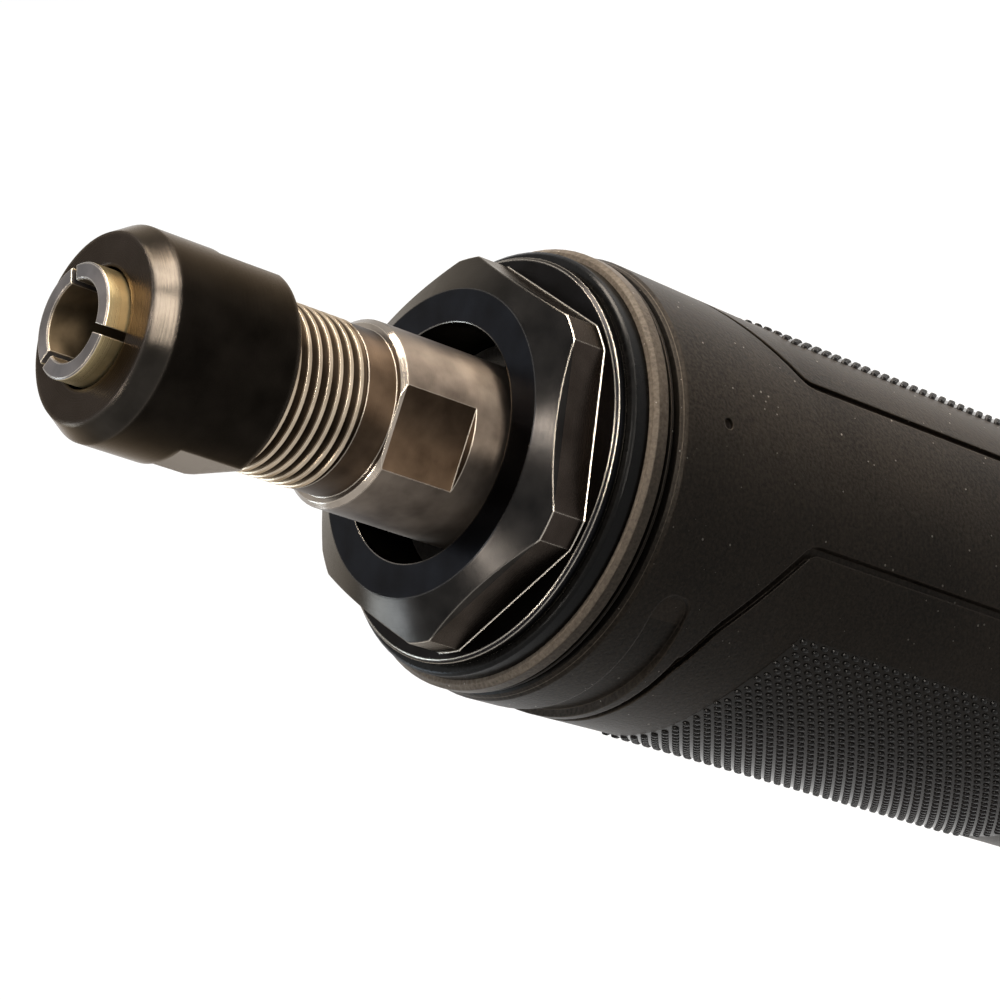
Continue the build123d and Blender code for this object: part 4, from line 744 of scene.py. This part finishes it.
# Speed dial
# A black thumb wheel, moulded with a knurl on both sides and set on the potentiometer's pin.
# The plain band in its middle carries raised pale numbers.
dial_plastic = moulding(
    "dial_plastic",
    dark=(0.010, 0.010, 0.011),
    pale=(0.022, 0.022, 0.023),
    gloss=(0.35, 0.5),
    fineness=1800,
    relief=0.05,
    edge_radius=0.3,
)
cover(dial_plastic, "speed_dial")
number_dark, number_pale = (0.45, 0.45, 0.44), (0.7, 0.7, 0.68)
number_paint, tree, shader, position = coat("number_paint", Roughness=0.6)
chalk = noise(tree, position, scale=2200.0, detail=3.0)
feed(tree, shader.inputs, Base_Color=blend(tree, chalk, number_dark, number_pale))
dial_middle, dial_radius = np.array((35.4, 0.0, 99.4)), 11.0
number_count, number_size, number_rise = 6, 3.0, 0.12
for number in range(number_count):
    # The digit as a flat mesh: x across it, y up it and z out of it
    letter = bpy.data.curves.new(f"number_{number + 1}", "FONT")
    letter.body = str(number + 1)
    letter.size = number_size
    letter.extrude = number_rise
    letter.align_x = "CENTER"
    letter.align_y = "CENTER"
    holder = bpy.data.objects.new(letter.name, letter)
    bpy.context.scene.collection.objects.link(holder)
    shaped = bpy.data.meshes.new_from_object(holder)
    flat = np.zeros(len(shaped.vertices) * 3)
    shaped.vertices.foreach_get("co", flat)
    flat = flat.reshape(-1, 3)
    number_faces = [list(polygon.vertices) for polygon in shaped.polygons]
    bpy.data.objects.remove(holder)
    bpy.data.meshes.remove(shaped)
    bpy.data.curves.remove(letter)
    # It stands on the band, with x along the dial's axle and y along its rim.
    turn = 2 * np.pi * number / number_count
    outward = np.array((np.cos(turn), 0.0, np.sin(turn)))
    along_rim = np.array((-np.sin(turn), 0.0, np.cos(turn)))
    axle = np.cross(along_rim, outward)
    number_points = dial_middle + outward * dial_radius + flat @ np.array((axle, along_rim, outward))
    piece(
        f"dial_number_{number + 1}", number_points, number_faces, number_paint,
        "speed_dial", smooth_below=30.0,
    )

# Battery pack
# A two-piece case of black nylon with finger grooves down its sides.
# Four screws close it from below, and its rails slide into the foot of the housing.
battery_plastic = moulding(
    "battery_plastic",
    dark=(0.014, 0.014, 0.015),
    pale=(0.032, 0.032, 0.033),
    gloss=(0.45, 0.62),
    fineness=1500,
    relief=0.1,
    edge_radius=0.5,
    specks=0.08,
)
cover(battery_plastic, "battery_base", "battery_lid")

# Screws
# Cap screws of heat-treated steel, which is left black.
# Four hold the neck, five close the housing and four close the battery.
screw_steel = turned_steel(
    "screw_steel",
    dark=(0.02, 0.02, 0.021),
    pale=(0.05, 0.05, 0.052),
    bright=(0.4, 0.38, 0.36),
    gloss=(0.3, 0.5),
    fineness=6000,
    edge_radius=0.2,
    wear=0.5,
)
cover(screw_steel, "neck_screws", "housing_screws", "battery_screws")

# Neck
# Die-cast aluminium, machined at its seats, sprayed gloss black and bolted to the housing by its flange.
# The rubber leaves a collar of it bare at the front.
neck_paint = moulding(
    "neck_paint",
    dark=(0.003, 0.003, 0.003),
    pale=(0.008, 0.0075, 0.007),
    gloss=(0.16, 0.28),
    fineness=1400,
    relief=0.02,
    edge_radius=0.3,
    specular=0.08,
)
cover(neck_paint, "neck")

# Motor shield
# A die-cast aluminium plate, held in the housing's ribs.
# Its machined seat carries the motor's front bearing.
cast_aluminium = turned_steel(
    "cast_aluminium",
    dark=(0.05, 0.048, 0.047),
    pale=(0.12, 0.118, 0.115),
    bright=(0.6, 0.6, 0.6),
    gloss=(0.4, 0.6),
    fineness=2500,
    edge_radius=0.3,
    wear=0.4,
)
cover(cast_aluminium, "motor_shield")

# Bearings and other bright steel inside
# Ball bearings, spacer, spring washer, circlip, coupling hubs and motor shaft.
# All are of bare steel, ground and polished.
bright_steel = turned_steel(
    "bright_steel",
    dark=(0.42, 0.42, 0.43),
    pale=(0.6, 0.6, 0.62),
    bright=(0.8, 0.8, 0.8),
    gloss=(0.12, 0.3),
    fineness=9000,
    edge_radius=0.2,
    wear=0.5,
)
cover(bright_steel, "spacer_tube", "preload_washer", "circlip", "spindle_hub", "motor_hub", "motor_shaft")
for bearing in ("front_bearing", "rear_bearing", "motor_front_bearing", "motor_rear_bearing"):
    cover(bright_steel, f"{bearing}_inner_race", f"{bearing}_outer_race", f"{bearing}_balls")

# Motor
# Stamped iron stacks, lacquered copper coils, nickel-plated magnets and a moulded fan on the shaft.
# A rubber spider joins it to the spindle; the switch gear, holders and module are of the fan's plastic.
stamped_iron = turned_steel(
    "stamped_iron",
    dark=(0.14, 0.14, 0.145),
    pale=(0.25, 0.25, 0.26),
    bright=(0.5, 0.5, 0.5),
    gloss=(0.35, 0.6),
    fineness=5000,
    edge_radius=0.3,
    wear=0.3,
)
cover(stamped_iron, "stator", "rotor_core")
copper_wire = turned_steel(
    "copper_wire",
    dark=(0.42, 0.15, 0.06),
    pale=(0.62, 0.26, 0.11),
    bright=(0.7, 0.35, 0.18),
    gloss=(0.25, 0.45),
    fineness=3200,
    edge_radius=0.4,
    wear=0.3,
)
cover(copper_wire, "stator_coils")
plated_magnet = turned_steel(
    "plated_magnet",
    dark=(0.3, 0.3, 0.31),
    pale=(0.42, 0.42, 0.43),
    bright=(0.6, 0.6, 0.6),
    gloss=(0.2, 0.4),
    fineness=4000,
    edge_radius=0.3,
    wear=0.4,
)
cover(plated_magnet, "rotor_magnets")
inner_plastic = moulding(
    "inner_plastic",
    dark=(0.012, 0.012, 0.013),
    pale=(0.03, 0.03, 0.031),
    gloss=(0.4, 0.55),
    fineness=1500,
    relief=0.06,
    edge_radius=0.4,
)
cover(inner_plastic, "cooling_fan", "motor_bracket", "switch_rod", "microswitch", "potentiometer")
cover(inner_plastic, "terminal_block", "control_module", "cell_holders")
spider_rubber = moulding(
    "spider_rubber",
    dark=(0.2, 0.03, 0.02),
    pale=(0.34, 0.06, 0.04),
    gloss=(0.6, 0.8),
    fineness=2400,
    relief=0.08,
    edge_radius=0.4,
)
cover(spider_rubber, "coupling_spider")

# Boards, cells and contacts
# Green lacquered boards and shrink-wrapped cells.
# The strips that join the cells, the blades and their clips are bright nickel.
board_lacquer = moulding(
    "board_lacquer",
    dark=(0.008, 0.07, 0.025),
    pale=(0.014, 0.11, 0.045),
    gloss=(0.2, 0.32),
    fineness=1200,
    relief=0.04,
    edge_radius=0.2,
    specular=0.5,
)
cover(board_lacquer, "switch_board", "battery_board")
cell_wrap = moulding(
    "cell_wrap",
    dark=(0.05, 0.16, 0.24),
    pale=(0.09, 0.24, 0.34),
    gloss=(0.25, 0.38),
    fineness=900,
    relief=0.04,
    edge_radius=0.4,
    specular=0.5,
)
cover(cell_wrap, "battery_cells")
nickel = turned_steel(
    "nickel",
    dark=(0.5, 0.48, 0.44),
    pale=(0.66, 0.63, 0.58),
    bright=(0.8, 0.78, 0.74),
    gloss=(0.18, 0.35),
    fineness=5000,
    edge_radius=0.1,
    wear=0.4,
)
cover(nickel, "cell_strips", "terminal_blades", "battery_clips")

# Floor, light and camera
# A pale floor that keeps the shadow, in a white room that lights little by itself.
# Soft lamps stand on the switch side, overhead and opposite; two tubes and a low strip only show mirrored.
scene = bpy.context.scene
scene.view_settings.view_transform = "Standard"


def seen_share(tree):
    """1 for what the camera sees, also mirrored or through glass, and 0 for what only sends light on."""
    path = put(tree, "ShaderNodeLightPath").outputs
    mirrored = reckon(tree, "MAXIMUM", path["Is Camera Ray"], path["Is Glossy Ray"])
    return reckon(tree, "MAXIMUM", mirrored, path["Is Transmission Ray"])


white, room_light = (1.0, 1.0, 1.0, 1.0), 0.1
world = bpy.data.worlds.new("room")
scene.world = world
world.use_nodes = True
tree = world.node_tree
background = tree.nodes["Background"].inputs
background["Color"].default_value = white
feed(tree, background, Strength=spread_between(tree, seen_share(tree), room_light, 1.0))

floor_half = 3.0
floor_mesh = bpy.data.meshes.new("floor")
floor_corners = np.array(((-1, -1, 0), (1, -1, 0), (1, 1, 0), (-1, 1, 0))) * floor_half
floor_mesh.from_pydata(floor_corners.tolist(), [], [(0, 1, 2, 3)])
floor = bpy.data.objects.new("floor", floor_mesh)
scene.collection.objects.link(floor)
# The floor glows where it is seen, but near the tool it keeps a share of its own shading, and so the shadow.
shadow_near, shadow_far, near_glow_share, near_glow = 0.15, 0.9, 0.55, 1.3
floor_unseen, floor_seen = (0.16, 0.16, 0.16), (0.9, 0.9, 0.9)
pale_floor, tree, shader, position = coat("pale_floor", Roughness=0.9, Specular_IOR_Level=0.1)
seen = seen_share(tree)
feed(tree, shader.inputs, Base_Color=blend(tree, seen, floor_unseen, floor_seen))
away = put(tree, "ShaderNodeVectorMath", {0: position}, operation="LENGTH").outputs["Value"]
far = rise(tree, away, shadow_near, shadow_far)
share = reckon(tree, "MULTIPLY", seen, spread_between(tree, far, near_glow_share, 1.0))
strength = spread_between(tree, far, near_glow, 1.0)
glow = put(tree, "ShaderNodeEmission", {"Color": white, "Strength": strength}).outputs["Emission"]
mixed = put(tree, "ShaderNodeMixShader", {0: share, 1: shader.outputs["BSDF"], 2: glow}).outputs["Shader"]
feed(tree, tree.nodes["Material Output"].inputs, Surface=mixed)
floor_mesh.materials.append(pale_floor)

lamp_aim = np.array((0.0, 0.0, 0.36))


def lamp(name, azimuth, elevation, distance, width, height, power, colour, on_rubber=True):
    """A rectangular soft lamp, set round the front end by its azimuth from -Y towards +X and its elevation.

    One that is not on the rubber shows in reflections only.
    """
    light = bpy.data.lights.new(name, "AREA")
    light.shape = "RECTANGLE"
    light.size, light.size_y = width, height
    light.energy = power
    light.color = colour
    holder = bpy.data.objects.new(name, light)
    scene.collection.objects.link(holder)
    side, lift = np.radians((azimuth, elevation))
    back = np.array((np.sin(side) * np.cos(lift), -np.cos(side) * np.cos(lift), np.sin(lift)))
    right = np.array((np.cos(side), np.sin(side), 0.0))
    up = np.cross(back, right)
    holder.matrix_world = Matrix([(*row, 0.0) for row in zip(right, up, back)] + [(0, 0, 0, 1)])
    holder.location = lamp_aim + back * distance
    holder.visible_camera = False
    holder.visible_diffuse = on_rubber


amber_white, warm_white, cool_white = (1.0, 0.89, 0.76), (1.0, 0.93, 0.84), (0.72, 0.86, 1.0)
lamp(
    "key", azimuth=77, elevation=20, distance=1.1, width=0.5, height=0.3, power=15.0, colour=amber_white
)
lamp(
    "tube_beside", azimuth=50, elevation=18, distance=1.1, width=0.55, height=0.22, power=15.0,
    colour=warm_white, on_rubber=False,
)
lamp(
    "tube_before", azimuth=5, elevation=27, distance=1.1, width=1.0, height=0.2, power=23.0,
    colour=warm_white, on_rubber=False,
)
lamp(
    "ceiling", azimuth=60, elevation=76, distance=0.9, width=0.14, height=0.14, power=3.0, colour=warm_white
)
lamp(
    "ceiling_behind", azimuth=225, elevation=64, distance=0.9, width=0.14, height=0.14, power=2.0,
    colour=warm_white,
)
lamp(
    "low_strip", azimuth=60, elevation=-13, distance=0.45, width=0.3, height=0.09, power=0.5,
    colour=warm_white, on_rubber=False,
)
lamp(
    "window", azimuth=188, elevation=21, distance=1.1, width=0.3, height=0.3, power=3.0, colour=cool_white
)

camera = bpy.data.cameras.new("camera")
camera.sensor_width = 36.0
camera.lens = 128.8
camera.clip_start, camera.clip_end = 0.01, 20.0
camera_right = (0.0024, -0.6586, -0.7525)
camera_up = (0.9249, -0.2845, 0.2521)
camera_back = (-0.3801, -0.6966, 0.6085)
eye = bpy.data.objects.new("camera", camera)
scene.collection.objects.link(eye)
camera_axes = zip(camera_right, camera_up, camera_back)
eye.matrix_world = Matrix([(*row, 0.0) for row in camera_axes] + [(0, 0, 0, 1)])
eye.location = (-0.1398, -0.2496, 0.5659)
scene.camera = eye
